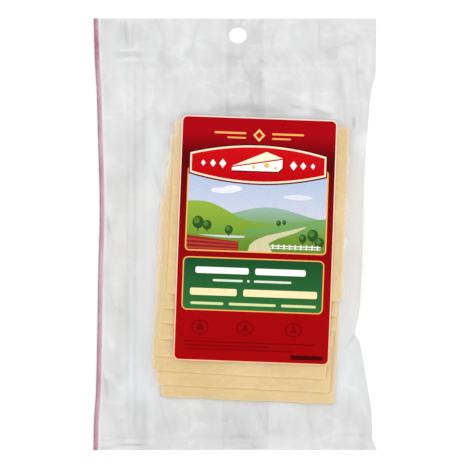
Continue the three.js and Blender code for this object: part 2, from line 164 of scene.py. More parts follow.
# Colours are given as the eye reads them, from 0 to 255
def paint(red, green, blue):
    def light(c):
        c = c / 255
        return c / 12.92 if c <= 0.04045 else ((c + 0.055) / 1.055) ** 2.4
    return (light(red), light(green), light(blue), 1.0)


# The heap of slices
def along_stack(x, y):
    return -math.sin(STACK_TURN) * x + math.cos(STACK_TURN) * y


def slice_frame(corner):
    x, y, turn = corner
    c = math.cos(math.radians(turn))
    s = math.sin(math.radians(turn))
    half = SLICE_SIDE / 2
    return (x + half * (c + s), y + half * (s - c), c, s)


SLICE_TOP_ENDS = [along_stack(x, y) for x, y, turn in SLICE_CORNERS]


def slice_underside(number, distance):
    """How high a slice lies, as it steps down over the ends of those beneath it."""
    ends = SLICE_TOP_ENDS[:number + 1]
    heights = [STACK_FOOT_Z + (number - k) * SLICE_PITCH for k in range(number + 1)]
    return np.interp(distance, ends, heights)


def slice_place(corner, x, y):
    """A place on the pack as a place on a slice, from the slice's middle."""
    cx, cy, c, s = slice_frame(corner)
    return (x - cx) * c + (y - cy) * s, -(x - cx) * s + (y - cy) * c


def stack_top(x, y, margin=0.0):
    """The top of the heap at each place, and nought beside it."""
    top = np.zeros(np.broadcast(x, y).shape)
    distance = along_stack(x, y)
    reach = SLICE_SIDE / 2 + margin
    for number, corner in enumerate(SLICE_CORNERS):
        u, v = slice_place(corner, x, y)
        inside = (np.abs(u) < reach) & (np.abs(v) < reach)
        height = slice_underside(number, distance) + SLICE_THICKNESS
        top = np.where(inside, np.maximum(top, height), top)
    return top


def label_place(x, y):
    """A place on the pack as a place on the label, from the label's middle."""
    c = math.cos(LABEL_TURN)
    s = math.sin(LABEL_TURN)
    dx = x - LABEL_CENTRE[0]
    dy = y - LABEL_CENTRE[1]
    return dx * c + dy * s, -dx * s + dy * c


def beside_label(x, y):
    """How far outside the label a place is, and less than nought on it."""
    u, v = label_place(x, y)
    return np.maximum(np.abs(u) - LABEL_WIDTH / 2, np.abs(v) - LABEL_LENGTH / 2)


# The film's height, found as a skin that is pulled over what lies under it
FIELD_HALF_WIDTH = 78.0
FILM_PITCH = 0.8
FILM_LOAD_AIR = -0.007
FILM_LOAD_CLING = -0.006
OVER_RELAXED = 1.7


def over_zip(x, y, height, gap, rib_reach):
    """The height raised so that it clears the zip's flange and ribs by a gap."""
    on_zip = (y > ZIP_FROM_Y) & (y < ZIP_TO_Y)
    on_flange = on_zip & (x > ZIP_LEFT) & (x < ZIP_RIGHT)
    height = np.where(on_flange, np.maximum(height, ZIP_FOOT_Z + ZIP_FLANGE + gap), height)
    for rib in ZIP_RIB_CENTRES:
        on_rib = on_zip & (np.abs(x - rib) < ZIP_RIB_WIDTH / 2 + rib_reach)
        height = np.where(on_rib, np.maximum(height, ZIP_RIB_TOP_Z + gap), height)
    return height


def film_rest(pitch, start, rounds):
    """The film's height on a grid, settled from a coarser start in some rounds."""
    xs = np.arange(-FIELD_HALF_WIDTH, FIELD_HALF_WIDTH + pitch / 2, pitch)
    ys = np.arange(-BAG_HALF_LENGTH, BAG_HALF_LENGTH + pitch / 2, pitch)
    x, y = np.meshgrid(xs, ys, indexing="ij")
    top = stack_top(x, y)
    floor = np.where(top > 0, np.maximum(SEAL_Z, top + FILM_OVER_SLICES), SEAL_Z)
    floor = over_zip(x, y, floor, 0.15, 0.3)
    held = ((x < film_left(y) + 0.3) | (x > film_right(y) - 0.3)
            | (y > HEADER_SEAL_FROM_Y) | (y < BOTTOM_SEAL_TO_Y))
    floor = np.where(held, SEAL_Z, floor)
    load = np.where(top > 0, FILM_LOAD_CLING, FILM_LOAD_AIR)
    load = np.where(beside_label(x, y) < 1.5, 0.0, load) * pitch ** 2
    if start is None:
        height = floor.copy()
    else:
        height = np.maximum(sample(start, x, y), floor)
        height = np.where(held, SEAL_Z, height)
    odd = (np.add.outer(np.arange(len(xs)), np.arange(len(ys))) % 2).astype(bool)
    for _ in range(rounds):
        for turn in (odd, ~odd):
            mean = np.zeros_like(height)
            mean[1:-1, 1:-1] = (height[2:, 1:-1] + height[:-2, 1:-1]
                                + height[1:-1, 2:] + height[1:-1, :-2]) / 4
            pulled = np.maximum(height + OVER_RELAXED * (mean + load - height), floor)
            height = np.where(turn & ~held, pulled, height)
    return xs, ys, height


def sample(field, x, y):
    """Reads a height field between its grid points."""
    xs, ys, height = field
    i = np.clip((x - xs[0]) / (xs[1] - xs[0]), 0, len(xs) - 1.001)
    j = np.clip((y - ys[0]) / (ys[1] - ys[0]), 0, len(ys) - 1.001)
    a = i.astype(int)
    b = j.astype(int)
    p = i - a
    q = j - b
    return ((1 - p) * (1 - q) * height[a, b] + p * (1 - q) * height[a + 1, b]
            + (1 - p) * q * height[a, b + 1] + p * q * height[a + 1, b + 1])


film_field = film_rest(3.2, None, 500)
film_field = film_rest(1.6, film_field, 300)
film_field = film_rest(FILM_PITCH, film_field, 250)

# Creases in the film, each as its course in the photograph, its width and height in millimetres,
# and its painted light: how much painted highlight (above nought) or painted shade (below) it lays on the
# film
CREASES = [
    ([(100, 69), (150, 69.5), (240, 69), (330, 69), (376, 68.5)], 0.9, 0.22, 0.25),
    ([(152, 165), (157, 180), (161, 197)], 1.0, -0.8, -0.5),
    ([(153, 236), (152, 250), (154, 263)], 1.9, 0.8, 0.5),
    ([(106, 216), (108, 225), (110, 233)], 0.8, -0.5, -0.5),
    ([(104, 199), (108, 206), (111, 216)], 1.4, 0.6, 0.5),
    ([(107, 335), (111, 341), (115, 348)], 1.8, 0.7, 0.6),
    ([(102, 370), (110, 377), (118, 386)], 1.2, 0.5, 0.4),
    ([(104, 375), (106, 386), (108, 398)], 0.9, -0.4, -0.45),
    ([(148, 370), (153, 379), (158, 391)], 1.5, 0.6, 0.4),
    ([(160, 385), (184, 399), (211, 413)], 1.3, 0.6, 0.45),
    ([(171, 104), (177, 110), (186, 119)], 1.8, 0.7, 0.35),
    ([(198, 44), (204, 46)], 1.2, 0.3, 0.4),
    ([(149, 69), (151.5, 78)], 2.2, 0.4, 0.32),
    ([(262, 85), (296, 95), (331, 111)], 1.3, 0.6, 0.4),
    ([(340.6, 73), (340.6, 84), (338, 95)], 1.1, -0.3, -0.18),
    ([(333, 78), (335, 92)], 3.0, 0.0, -0.08),
    ([(356, 70), (364, 73)], 1.3, 0.2, -0.2),
    ([(346, 74), (347, 92), (349, 111)], 1.6, 0.7, 0.5),
    ([(353.6, 117), (353.8, 124), (352.8, 131)], 0.8, -0.5, -0.9),
    ([(352, 138), (353, 180), (353, 220), (351, 262)], 2.2, 0.4, 0.5),
    ([(350, 274), (351, 293), (348.5, 314), (349, 327)], 1.1, -0.4, -0.40),
    ([(345, 300), (343, 325), (339, 362)], 1.6, 0.5, 0.10),
    ([(356, 334), (350, 341), (344, 350)], 1.0, -0.9, -0.6),
    ([(340, 385), (351, 388), (363, 392)], 0.9, 0.5, 0.35),
    ([(322, 414), (336, 421), (330, 428)], 1.4, 0.5, 0.45),
    ([(372, 432), (375, 440), (377, 448)], 0.9, 0.2, 0.3),
    ([(260, 54), (260, 104)], 0.6, -0.15, -0.35),
    ([(258, 60), (268, 64)], 0.5, -0.15, -0.45),
    # Painted shadow in the pocket of film just above the heap's upper end
    ([(207, 110), (250, 108), (286, 111)], 2.8, -0.3, -0.45),
    ([(290, 106), (305, 109)], 0.9, -0.3, -0.4),
    ([(308, 108), (320, 112), (333, 116)], 1.2, -0.4, -0.4),
    ([(125.4, 20), (125.6, 34), (128, 45)], 0.8, 0.1, -0.3),
    ([(129, 20), (129.5, 32), (131, 42)], 0.5, 0.1, 0.3),
    # Broad painted highlights on the film sloping down beside the heap's sides
    ([(153, 165), (149, 260), (145, 345), (148, 395)], 4.4, 0.0, 0.45),
    ([(353, 125), (352, 220), (350, 300), (345, 360)], 3.6, 0.0, 0.5),
    ([(361, 140), (360, 240), (358, 320)], 3.4, 0.0, 0.40),
    # Painted highlight and shade lines along the zip
    ([(127.5, 64), (127.5, 431)], 0.6, 0.0, -0.14),
    ([(134.9, 64), (134.8, 431)], 0.85, 0.0, -0.24),
    ([(131.1, 64), (131.0, 426)], 0.75, 0.0, 0.6),
    ([(139.2, 66), (138.6, 426)], 0.7, 0.0, 0.16),
    ([(143.8, 64), (143.8, 431)], 0.8, 0.0, -0.20),
    ([(144, 395), (144, 430)], 1.6, 0.0, -0.12),
    ([(112, 445.8), (128, 444.9), (150, 444.0)], 0.6, 0.2, -0.65),
    ([(113, 447.8), (151, 447.4)], 0.4, 0.2, 0.3),
]
# The block where the zip meets the header, drawn a little darker
CREASES += [([(column, 20), (column, 46)], 3.2, 0.0, -0.07) for column in (118, 125, 133, 140)]
# Creases that run level, each as its columns and row, its width and height, and its painted highlight or
# shade
LEVEL_CREASES = [
    (114, 142, 49.8, 0.5, 0.25, 0.5), (113, 145, 54.6, 1.6, -0.1, -0.30),
    (115, 147, 59.2, 0.45, 0.25, 0.3), (121, 141, 62.6, 0.5, -0.1, -0.28),
    (113, 151, 437.2, 1.2, -0.1, -0.30), (124, 146, 441.6, 0.4, 0.2, 0.6),
    (98, 113, 435.2, 0.35, 0.1, -0.15), (98, 112, 440.6, 0.35, 0.1, -0.30),
    (99, 113, 448.0, 0.35, 0.1, -0.35), (330, 372, 434.5, 0.5, 0.15, -0.25),
    (205, 260, 437, 0.5, 0.15, -0.25), (100, 375, 441, 0.5, 0.12, 0.15),
    (236, 258, 61.5, 0.5, 0.15, 0.6),
]
CREASES += [([(first, row), (last, row)], width, height, painted_lightness)
            for first, last, row, width, height, painted_lightness in LEVEL_CREASES]


def crease_effect(x, y):
    """What all the creases add to the film's height, and the painted highlight or shade they lay on it."""
    lift = np.zeros_like(x)
    painted_light = np.zeros_like(x)
    for course, width, height, painted_lightness in CREASES:
        points = np.array([seen(*p) for p in course])
        reach = 3.5 * width
        near = np.where((x > points[:, 0].min() - reach) & (x < points[:, 0].max() + reach)
                        & (y > points[:, 1].min() - reach) & (y < points[:, 1].max() + reach))[0]
        if not len(near):
            continue
        px = x[near]
        py = y[near]
        lengths = np.hypot(*np.diff(points, axis=0).T)
        total = lengths.sum()
        best = np.full(len(near), 1e9)
        along = np.zeros(len(near))
        run = 0.0
        for (ax, ay), (bx, by), length in zip(points[:-1], points[1:], lengths):
            t = np.clip(((px - ax) * (bx - ax) + (py - ay) * (by - ay)) / length ** 2, 0, 1)
            d = np.hypot(px - ax - t * (bx - ax), py - ay - t * (by - ay))
            closer = d < best
            best = np.where(closer, d, best)
            along = np.where(closer, (run + t * length) / total, along)
            run += length
        fade = np.sin(np.pi * np.clip(along, 0.0, 1.0)) ** 0.5 * 0.85 + 0.15
        shape = np.exp(-(best / width) ** 2) * fade
        lift[near] += height * shape
        # Each crease lays its painted highlight or painted shade on the film
        painted_light[near] += painted_lightness * shape
    return lift, painted_light


# How many waves of fine wrinkles cross, and their height in millimetres
WRINKLES = 34
WRINKLE_HEIGHT = 0.045


def small_wrinkles(x, y):
    """Fine soft wrinkles all over, in long narrow waves that cross at a slant."""
    rng = np.random.default_rng(11)
    lift = np.zeros_like(x)
    for _ in range(WRINKLES):
        angle = rng.uniform(-0.5, 0.9) + (math.pi / 2 if rng.random() < 0.35 else 0)
        length = rng.uniform(7, 22)
        phase = rng.uniform(0, 6.28)
        bend = rng.uniform(-0.02, 0.02)
        across = x * math.cos(angle) + y * math.sin(angle)
        ahead = -x * math.sin(angle) + y * math.cos(angle)
        patch = np.sin(ahead / rng.uniform(18, 40) + rng.uniform(0, 6.28))
        wave = np.sin(2 * math.pi * across / length + phase + bend * ahead)
        lift += np.maximum(wave, -0.2) ** 3 * np.maximum(patch, 0)
    return WRINKLE_HEIGHT * lift


# How much of a crease's height is left in a seal, and how close the film may come to slices and table
SEALED_LIFT = 0.45
LEAST_GAP = 0.12
LEAST_Z = 0.35


def film_height(x, y):
    """The front film's height, and the painted highlight or shade of the creases there."""
    x = np.asarray(x, float)
    y = np.asarray(y, float)
    height = sample(film_field, x, y)
    lift, painted_light = crease_effect(x, y)
    lift = lift + small_wrinkles(x, y)
    free = ramp(0.0, 2.5, x - film_left(y)) * ramp(0.0, 2.5, film_right(y) - x)
    off_label = ramp(0.0, 3.0, beside_label(x, y))
    sealed = (y > HEADER_SEAL_FROM_Y) | (y < BOTTOM_SEAL_TO_Y)
    lift = lift * free * off_label * np.where(sealed, SEALED_LIFT, 1.0)
    hidden = np.maximum(stack_top(x, y, 0.3) + LEAST_GAP, LEAST_Z)
    hidden = over_zip(x, y, hidden, 0.06, 0.0)
    return np.maximum(height + lift, hidden), painted_light * off_label


# Making meshes
def make_piece(name, points, faces, material, smooth=True, sharp=50):
    mesh = bpy.data.meshes.new(name)
    mesh.from_pydata([tuple(p) for p in np.asarray(points, float) * MM], [], faces)
    mesh.update()
    if smooth:
        mesh.shade_smooth()
        mesh.set_sharp_from_angle(angle=math.radians(sharp))
    mesh.materials.append(material)
    piece = bpy.data.objects.new(name, mesh)
    bpy.context.scene.collection.objects.link(piece)
    return piece


def meshed(points, edges, keep):
    """Triangles over points that keep the given edges; keep says which middles are inside."""
    flat = [Vector((float(a), float(b))) for a, b in points]
    verts, _, faces, _, _, _ = delaunay_2d_cdt(flat, edges, [], 0, 1e-5)
    places = np.array([(v.x, v.y) for v in verts])
    faces = np.array(faces)
    middles = places[faces].mean(axis=1)
    faces = faces[keep(middles[:, 0], middles[:, 1])]
    a = places[faces[:, 1]] - places[faces[:, 0]]
    b = places[faces[:, 2]] - places[faces[:, 0]]
    turned = a[:, 0] * b[:, 1] - a[:, 1] * b[:, 0] < 0
    faces[turned] = faces[turned][:, ::-1]
    used, where = np.unique(faces, return_inverse=True)
    return places[used], where.reshape(faces.shape)


def closed_skin(places, faces, upper, lower):
    """A closed body between an upper and a lower surface over the same triangles."""
    count = len(places)
    points = np.vstack([np.column_stack([places, upper]), np.column_stack([places, lower])])
    sides = {}
    for a, b, c in faces:
        for edge in ((a, b), (b, c), (c, a)):
            sides[edge] = sides.get(edge, 0) + 1
    rim = [(a, b) for a, b in sides if (b, a) not in sides]
    body = [tuple(int(i) for i in f) for f in faces]
    body += [tuple(int(i) + count for i in f[::-1]) for f in faces]
    body += [(int(b), int(a), int(a) + count, int(b) + count) for a, b in rim]
    return points, body


def ring(count, start):
    return [(start + i, start + (i + 1) % count) for i in range(count)]


def places_of(piece):
    """Where the piece's vertices are, in millimetres, one row each."""
    co = np.empty(len(piece.data.vertices) * 3)
    piece.data.vertices.foreach_get("co", co)
    return co.reshape(-1, 3) / MM


def lay_on(piece, **layers):
    """Gives each vertex its numbers, which the finishes read by name."""
    for name, values in layers.items():
        layer = piece.data.attributes.new(name, "FLOAT", "POINT")
        layer.data.foreach_set("value", values.astype(np.float32))


# Node trees. A value is a number, a colour or another node's output
class Nodes:
    def __init__(self, tree):
        self.tree = tree

    def add(self, kind, values=None, **settings):
        node = self.tree.nodes.new(kind)
        for key, value in settings.items():
            setattr(node, key, value)
        for key, value in (values or {}).items():
            if isinstance(value, bpy.types.NodeSocket):
                self.tree.links.new(value, node.inputs[key])
            else:
                node.inputs[key].default_value = value
        return node

    def calculated(self, operation, first, second=0.0, clamp=False):
        node = self.add("ShaderNodeMath", {0: first, 1: second}, operation=operation, use_clamp=clamp)
        return node.outputs[0]

    def plus(self, first, second, clamp=False):
        return self.calculated("ADD", first, second, clamp)

    def less(self, first, second, clamp=False):
        return self.calculated("SUBTRACT", first, second, clamp)

    def times(self, first, second):
        return self.calculated("MULTIPLY", first, second)

    def vector(self, operation, first, second=(0, 0, 0), which=1):
        return self.add("ShaderNodeVectorMath", {0: first, which: second}, operation=operation).outputs[0]

    def spread(self, value, low, high, to_low, to_high, **settings):
        return self.add("ShaderNodeMapRange", {
            "Value": value, "From Min": low, "From Max": high, "To Min": to_low, "To Max": to_high,
        }, **settings).outputs["Result"]


class Finish(Nodes):
    def __init__(self, name):
        self.material = bpy.data.materials.new(name)
        self.material.use_nodes = True
        super().__init__(self.material.node_tree)
        self.tree.nodes.clear()

    def noise(self, scale, detail=3.0, roughness=0.5, stretch=(1, 1, 1)):
        """Noise on Object coordinates; scale is in spots per metre."""
        place = self.add("ShaderNodeTexCoord").outputs["Object"]
        stretched = self.add("ShaderNodeMapping", {"Vector": place, "Scale": stretch}).outputs["Vector"]
        return self.add("ShaderNodeTexNoise", {"Vector": stretched, "Scale": scale, "Detail": detail,
                                               "Roughness": roughness}).outputs["Fac"]

    def veins(self, scale, middle, reach, stretch):
        """Thin winding lines, where the noise passes its middle."""
        away = self.less(self.noise(scale, 2, 0.45, stretch), middle)
        return self.spread(self.calculated("ABSOLUTE", away), 0.0, reach, 1.0, 0.0)

    def object_y(self):
        place = self.add("ShaderNodeTexCoord").outputs["Object"]
        return self.add("ShaderNodeSeparateXYZ", {0: place}).outputs["Y"]

    def laid(self, name, output="Fac"):
        """What the mesh was given under this name."""
        return self.add("ShaderNodeAttribute", attribute_name=name).outputs[output]

    def mixed(self, factor, first, second):
        return self.add("ShaderNodeMix", {0: factor, 6: first, 7: second}, data_type="RGBA").outputs[2]

    def bumped(self, height, strength, distance):
        return self.add("ShaderNodeBump", {"Height": height, "Strength": strength,
                                           "Distance": distance}).outputs["Normal"]

    def skin(self, values):
        return self.add("ShaderNodeBsdfPrincipled", values).outputs[0]

    def shown(self, surface):
        self.add("ShaderNodeOutputMaterial", {"Surface": surface})
        return self.material


def grey(level):
    return (level, level, level, 1)


def film_finish(name, veil, clearness, back_clearness=None, gloss=0.16, uneven=1.0, grazing=0.16):
    """Clear film: mostly open, with a thin milky veil and gloss. Painted highlights and shade on creases,
    and painted light by the heap.
    """
    t = Finish(name)
    painted_light, fringe, haze_and_painted_light, milky, back, foot, beside = [
        t.laid(layer) for layer in ("painted_light", "fringe", "haze_and_painted_light", "milky", "back", "foot", "beside")]
    # Painted highlight where the creases' painted light is above nought, painted shade where it is below
    painted_highlight = t.spread(painted_light, 0.0, 0.6, 0.0, 1.0)
    painted_shade = t.spread(painted_light, -0.6, 0.0, 1.0, 0.0)

    # The light that comes through
    cloud = t.noise(46, 3, 0.55, (1.0, 0.5, 1.0))
    patch = t.noise(150, 3, 0.55, (1.0, 0.6, 1.0))
    drift = 0.0
    for share, change in ((t.spread(cloud, 0.3, 0.7, -0.020, 0.018), 1.0),
                          (t.spread(patch, 0.35, 0.65, -0.011, 0.011), 1.0),
                          (t.veins(38, 0.5, 0.022, (1.0, 0.55, 1.0)), -0.022),
                          (t.veins(61, 0.52, 0.02, (0.6, 1.0, 1.0)), 0.024),
                          (t.spread(t.object_y(), -0.100, -0.084, 1.0, 0.0), -0.010)):
        drift = t.plus(drift, t.times(share, change * uneven))
    shade = t.add("ShaderNodeCombineColor", {0: drift, 1: drift, 2: drift}).outputs[0]
    open_part = t.mixed(back, grey(clearness), grey(back_clearness or clearness))
    open_part = t.vector("ADD", open_part, shade)
    # Painted light beside the heap and round its steps, the creases' painted highlight and painted shade,
    # and the pink fringe tint the light that comes through
    for factor, tint in ((beside, (0.964, 0.982, 1.0, 1)), (t.times(foot, 0.6), grey(1)), (painted_highlight, grey(1)),
                         (painted_shade, grey(0.80)), (fringe, (0.985, 0.973, 0.980, 1))):
        open_part = t.mixed(factor, open_part, tint)

    # The share of the skin itself, more where it is seen at a slant
    # The skin thins under the painted highlight and the painted light at the steps
    held_back = t.times(t.less(1.0, t.times(painted_highlight, 0.8)), t.less(1.0, t.times(foot, 0.5)))
    edge = t.add("ShaderNodeLayerWeight", {"Blend": 0.35}).outputs["Facing"]
    edge = t.times(edge, t.less(1.0, foot, clamp=True))
    cover = t.times(held_back, veil)
    # Painted shade, the slant, the haze with its painted light, the milky edge and the fringe each thicken
    # the skin
    for part, weight in ((painted_shade, 0.05), (edge, grazing), (haze_and_painted_light, 0.20), (milky, 0.40), (fringe, 0.08)):
        cover = t.plus(cover, t.times(part, weight), clamp=True)

    colour = t.mixed(fringe, paint(205, 207, 209), paint(244, 226, 236))
    # Where the haze carries painted light, the skin whitens
    colour = t.mixed(haze_and_painted_light, colour, paint(252, 252, 252))
    colour = t.mixed(milky, colour, paint(252, 240, 234))
    normal = t.bumped(t.noise(150, 4, 0.6, (1.0, 0.5, 1.0)), 0.5, 0.0009)
    skin = t.skin({"Base Color": colour, "Roughness": gloss, "IOR": 1.9, "Specular IOR Level": 1.0,
                   "Normal": normal})
    clear = t.add("ShaderNodeBsdfTransparent", {"Color": open_part}).outputs[0]
    return t.shown(t.add("ShaderNodeMixShader", {0: cover, 1: clear, 2: skin}).outputs[0])


def cheese_finish():
    """Soft pale cheese that lets a little light in, paler along its edges partly of itself and partly by
    painted light.
    """
    t = Finish("sliced_cheese")
    grain = t.noise(420, 3, 0.6)
    cloud = t.spread(t.noise(28, 4, 0.55), 0.35, 0.65, 0, 1)
    colour = t.mixed(cloud, paint(220, 190, 130), paint(227, 201, 148))
    colour = t.mixed(t.spread(grain, 0.4, 0.75, 0, 0.35), colour, paint(236, 219, 174))
    # The paler mix is the cut edge's own colour together with painted light round the rim and at each step's
    # foot
    colour = t.mixed(t.laid("pale"), colour, paint(242, 215, 162))
    normal = t.bumped(t.plus(grain, t.noise(1300, 2, 0.5)), 0.35, 0.0002)
    return t.shown(t.skin({
        "Base Color": colour, "Normal": normal, "Roughness": 0.48, "Subsurface Weight": 0.5,
        "Subsurface Scale": 0.003, "Subsurface Radius": (1.0, 0.75, 0.4), "Specular IOR Level": 0.4}))


def print_finish():
    """The label's inks: the colour laid on the mesh, slightly uneven, with a faint gloss."""
    t = Finish("printed_label")
    ink = t.laid("ink", "Color")
    mottle = t.noise(900, 2, 0.5)
    dull = t.mixed(0.06, ink, paint(120, 30, 30))
    colour = t.mixed(t.spread(mottle, 0.35, 0.65, 0, 1), ink, dull)
    normal = t.bumped(t.plus(t.noise(35, 2, 0.5), t.times(mottle, 0.02)), 0.4, 0.0012)
    return t.shown(t.skin({"Base Color": colour, "Normal": normal, "Roughness": 0.3,
                           "Specular IOR Level": 0.025, "Coat Weight": 0.01, "Coat Roughness": 0.06}))


def strip_finish():
    """The strip's worn colour, darker along its outer edge, with a painted highlight along its inner edge,
    and stronger near its ends.
    """
    t = Finish("mauve_edge")
    blotch = t.noise(60, 4, 0.65, (1.0, 0.7, 1.0))
    worn = t.plus(blotch, t.spread(t.object_y(), -0.116, 0.116, 0.10, -0.12))
    worn = t.spread(worn, 0.35, 0.65, 0, 1)
    outer = t.mixed(worn, paint(134, 88, 108), paint(164, 126, 141))
    inner = t.mixed(worn, paint(188, 150, 165), paint(212, 184, 195))
    # Across the strip: darker at the outer edge, with a painted highlight at the inner edge
    colour = t.mixed(t.laid("across"), outer, inner)
    colour = t.mixed(t.times(t.laid("vivid"), 0.7), colour, paint(150, 64, 98))
    colour = t.mixed(t.spread(t.noise(500, 3, 0.6), 0.5, 0.8, 0, 0.4), colour, paint(216, 186, 200))
    return t.shown(t.skin({"Base Color": colour, "Normal": t.bumped(blotch, 0.4, 0.0005), "Roughness": 0.3,
                           "Specular IOR Level": 0.5}))


CLEAR_FILM = film_finish("clear_film", 0.050, 0.965, 0.886)
FIN_FILM = film_finish("fin_film", 0.007, 0.986, uneven=0.1, grazing=0.0)
ZIP_PLASTIC = film_finish("zip_plastic", 0.004, 0.998, gloss=0.25, uneven=0.0, grazing=0.10)
CHEESE = cheese_finish()
PRINT = print_finish()
MAUVE = strip_finish()


class Tree(Nodes):
    """A Geometry Nodes tree; inputs are the label, kind and value of each number it takes."""

    def __init__(self, name, inputs):
        super().__init__(bpy.data.node_groups.new(name, "GeometryNodeTree"))
        self.tree.is_modifier = True
        self.names = {}
        sockets = self.tree.interface
        sockets.new_socket("Geometry", in_out="INPUT", socket_type="NodeSocketGeometry")
        for label, kind, value in inputs:
            socket = sockets.new_socket(label, in_out="INPUT", socket_type=kind)
            if value is not None:
                socket.default_value = value
            self.names[label] = socket.identifier
        sockets.new_socket("Geometry", in_out="OUTPUT", socket_type="NodeSocketGeometry")
        self.start = self.add("NodeGroupInput")
        self.end = self.add("NodeGroupOutput")

    def given(self, label):
        return self.start.outputs[label]

    def joined(self, shapes):
        node = self.add("GeometryNodeJoinGeometry")
        for shape in shapes:
            self.tree.links.new(shape, node.inputs[0])
        return node.outputs[0]

    def finish(self, shape, material):
        real = self.add("GeometryNodeRealizeInstances", {"Geometry": shape})
        dressed = self.add("GeometryNodeSetMaterial", {"Geometry": real.outputs[0], "Material": material})
        self.tree.links.new(dressed.outputs[0], self.end.inputs[0])

    def grown(self, name, values, path=()):
        """The tree's result as a plain mesh object."""
        mesh = bpy.data.meshes.new(name + "_path")
        mesh.from_pydata([tuple(p) for p in path], [(i, i + 1) for i in range(len(path) - 1)], [])
        holder = bpy.data.objects.new(name + "_path", mesh)
        bpy.context.scene.collection.objects.link(holder)
        modifier = holder.modifiers.new("shape", "NODES")
        modifier.node_group = self.tree
        for label, value in values.items():
            modifier[self.names[label]] = value
        graph = bpy.context.evaluated_depsgraph_get()
        made = bpy.data.meshes.new_from_object(holder.evaluated_get(graph))
        holder.modifiers.remove(modifier)
        bpy.data.objects.remove(holder)
        made.name = name
        piece = bpy.data.objects.new(name, made)
        bpy.context.scene.collection.objects.link(piece)
        return piece


def slice_tree():
    """A flat slice with rounded corners, soft edges and a slightly uneven outline."""
    inputs = [(label, "NodeSocketFloat", size * MM) for label, size in (
        ("Side", SLICE_SIDE), ("Thickness", SLICE_THICKNESS), ("Corner", SLICE_CORNER),
        ("Softness", SLICE_SOFTNESS), ("Waviness", SLICE_WAVINESS))]
    t = Tree("cheese_slice", inputs + [("Seed", "NodeSocketFloat", 1.0),
                                       ("Divisions", "NodeSocketInt", SLICE_DIVISIONS)])
    grid = t.add("GeometryNodeMeshGrid", {"Size X": 2.0, "Size Y": 2.0, "Vertices X": t.given("Divisions"),
                                          "Vertices Y": t.given("Divisions")})
    place = t.add("GeometryNodeInputPosition").outputs[0]
    parts = t.add("ShaderNodeSeparateXYZ", {0: t.vector("ABSOLUTE", place)})
    sign = t.vector("SIGN", place)
    half = t.times(t.given("Side"), 0.5)

    # Each place of a square grid goes to one on a square with round corners
    inner = t.less(half, t.given("Corner"))
    flat = []
    over = []
    for axis in range(2):
        rest = t.less(1.0, parts.outputs[axis])
        closer = t.less(1.0, t.calculated("POWER", rest, 1.6))
        reach = t.times(closer, half)
        flat.append(t.calculated("MINIMUM", reach, inner))
        over.append(t.calculated("MAXIMUM", t.less(reach, inner), 0.0))
    most = t.calculated("MAXIMUM", over[0], over[1])
    span = t.calculated("POWER", t.plus(t.times(over[0], over[0]), t.times(over[1], over[1])), 0.5)
    pull = t.calculated("DIVIDE", most, t.calculated("MAXIMUM", span, 1e-9))
    across = t.plus(flat[0], t.times(over[0], pull))
    ahead = t.plus(flat[1], t.times(over[1], pull))

    # Its height falls off round the rim
    inset = t.less(t.given("Corner"), most)
    near = t.calculated("MINIMUM", t.calculated("DIVIDE", inset, t.given("Softness")), 1.0)
    far = t.less(1.0, near)
    arch = t.calculated("POWER", t.less(1.0, t.times(far, far)), 0.5)
    height = t.times(t.times(arch, t.given("Thickness")), 0.5)

    signed = t.vector("MULTIPLY", t.add("ShaderNodeCombineXYZ", {0: across, 1: ahead}).outputs[0], sign)
    ripple = t.add("ShaderNodeTexNoise", {"Vector": signed, "W": t.given("Seed"), "Scale": 55.0,
                                          "Detail": 2.0}, noise_dimensions="4D")
    shift = t.vector("SUBTRACT", ripple.outputs["Color"], (0.5, 0.5, 0.5))
    wave = t.vector("SCALE", shift, t.given("Waviness"), "Scale")
    both = t.vector("ADD", signed, t.vector("MULTIPLY", wave, (3.0, 3.0, 0.0)))
    halves = []
    for side in (1.0, -1.0):
        tall = t.add("ShaderNodeCombineXYZ", {2: t.times(height, side)})
        goal = t.vector("ADD", both, tall.outputs[0])
        put = t.add("GeometryNodeSetPosition", {"Geometry": grid.outputs[0], "Position": goal})
        halves.append(put.outputs[0])
    turned = t.add("GeometryNodeFlipFaces", {0: halves[1]})
    joined = t.joined([turned.outputs[0], halves[0]])
    merged = t.add("GeometryNodeMergeByDistance", {"Geometry": joined, "Distance": 2e-6})
    soft = t.add("GeometryNodeSetShadeSmooth", {"Geometry": merged.outputs[0]})
    t.finish(soft.outputs[0], CHEESE)
    return t


def swept_tree(name, bars, material):
    """Bars with rounded corners that follow a path, each with a width, a height and an offset."""
    inputs = [("Step", "NodeSocketFloat", 0.002), ("Rounding", "NodeSocketFloat", 0.0002)]
    for bar in bars:
        inputs += [(bar + " width", "NodeSocketFloat", 0.001), (bar + " height", "NodeSocketFloat", 0.001),
                   (bar + " offset", "NodeSocketVector", None)]
    t = Tree(name, inputs)
    curve = t.add("GeometryNodeMeshToCurve", {"Mesh": t.given("Geometry")}).outputs[0]
    curve = t.add("GeometryNodeResampleCurve", {"Curve": curve, "Length": t.given("Step")},
                  mode="LENGTH").outputs[0]
    curve = t.add("GeometryNodeSetCurveNormal", {"Curve": curve}, mode="Z_UP").outputs[0]
    made = []
    for bar in bars:
        moved = t.add("GeometryNodeSetPosition", {"Geometry": curve, "Offset": t.given(bar + " offset")})
        section = t.add("GeometryNodeCurvePrimitiveQuadrilateral", {"Width": t.given(bar + " width"),
                                                                   "Height": t.given(bar + " height")})
        rounded = t.add("GeometryNodeFilletCurve", {"Curve": section.outputs[0], "Count": 3,
                                                    "Radius": t.given("Rounding")}, mode="POLY")
        swept = t.add("GeometryNodeCurveToMesh", {"Curve": moved.outputs[0], "Fill Caps": True,
                                                  "Profile Curve": rounded.outputs[0]})
        made.append(swept.outputs[0])
    soft = t.add("GeometryNodeSetShadeSmooth", {"Geometry": t.joined(made)})
    t.finish(soft.outputs[0], material)
    return t


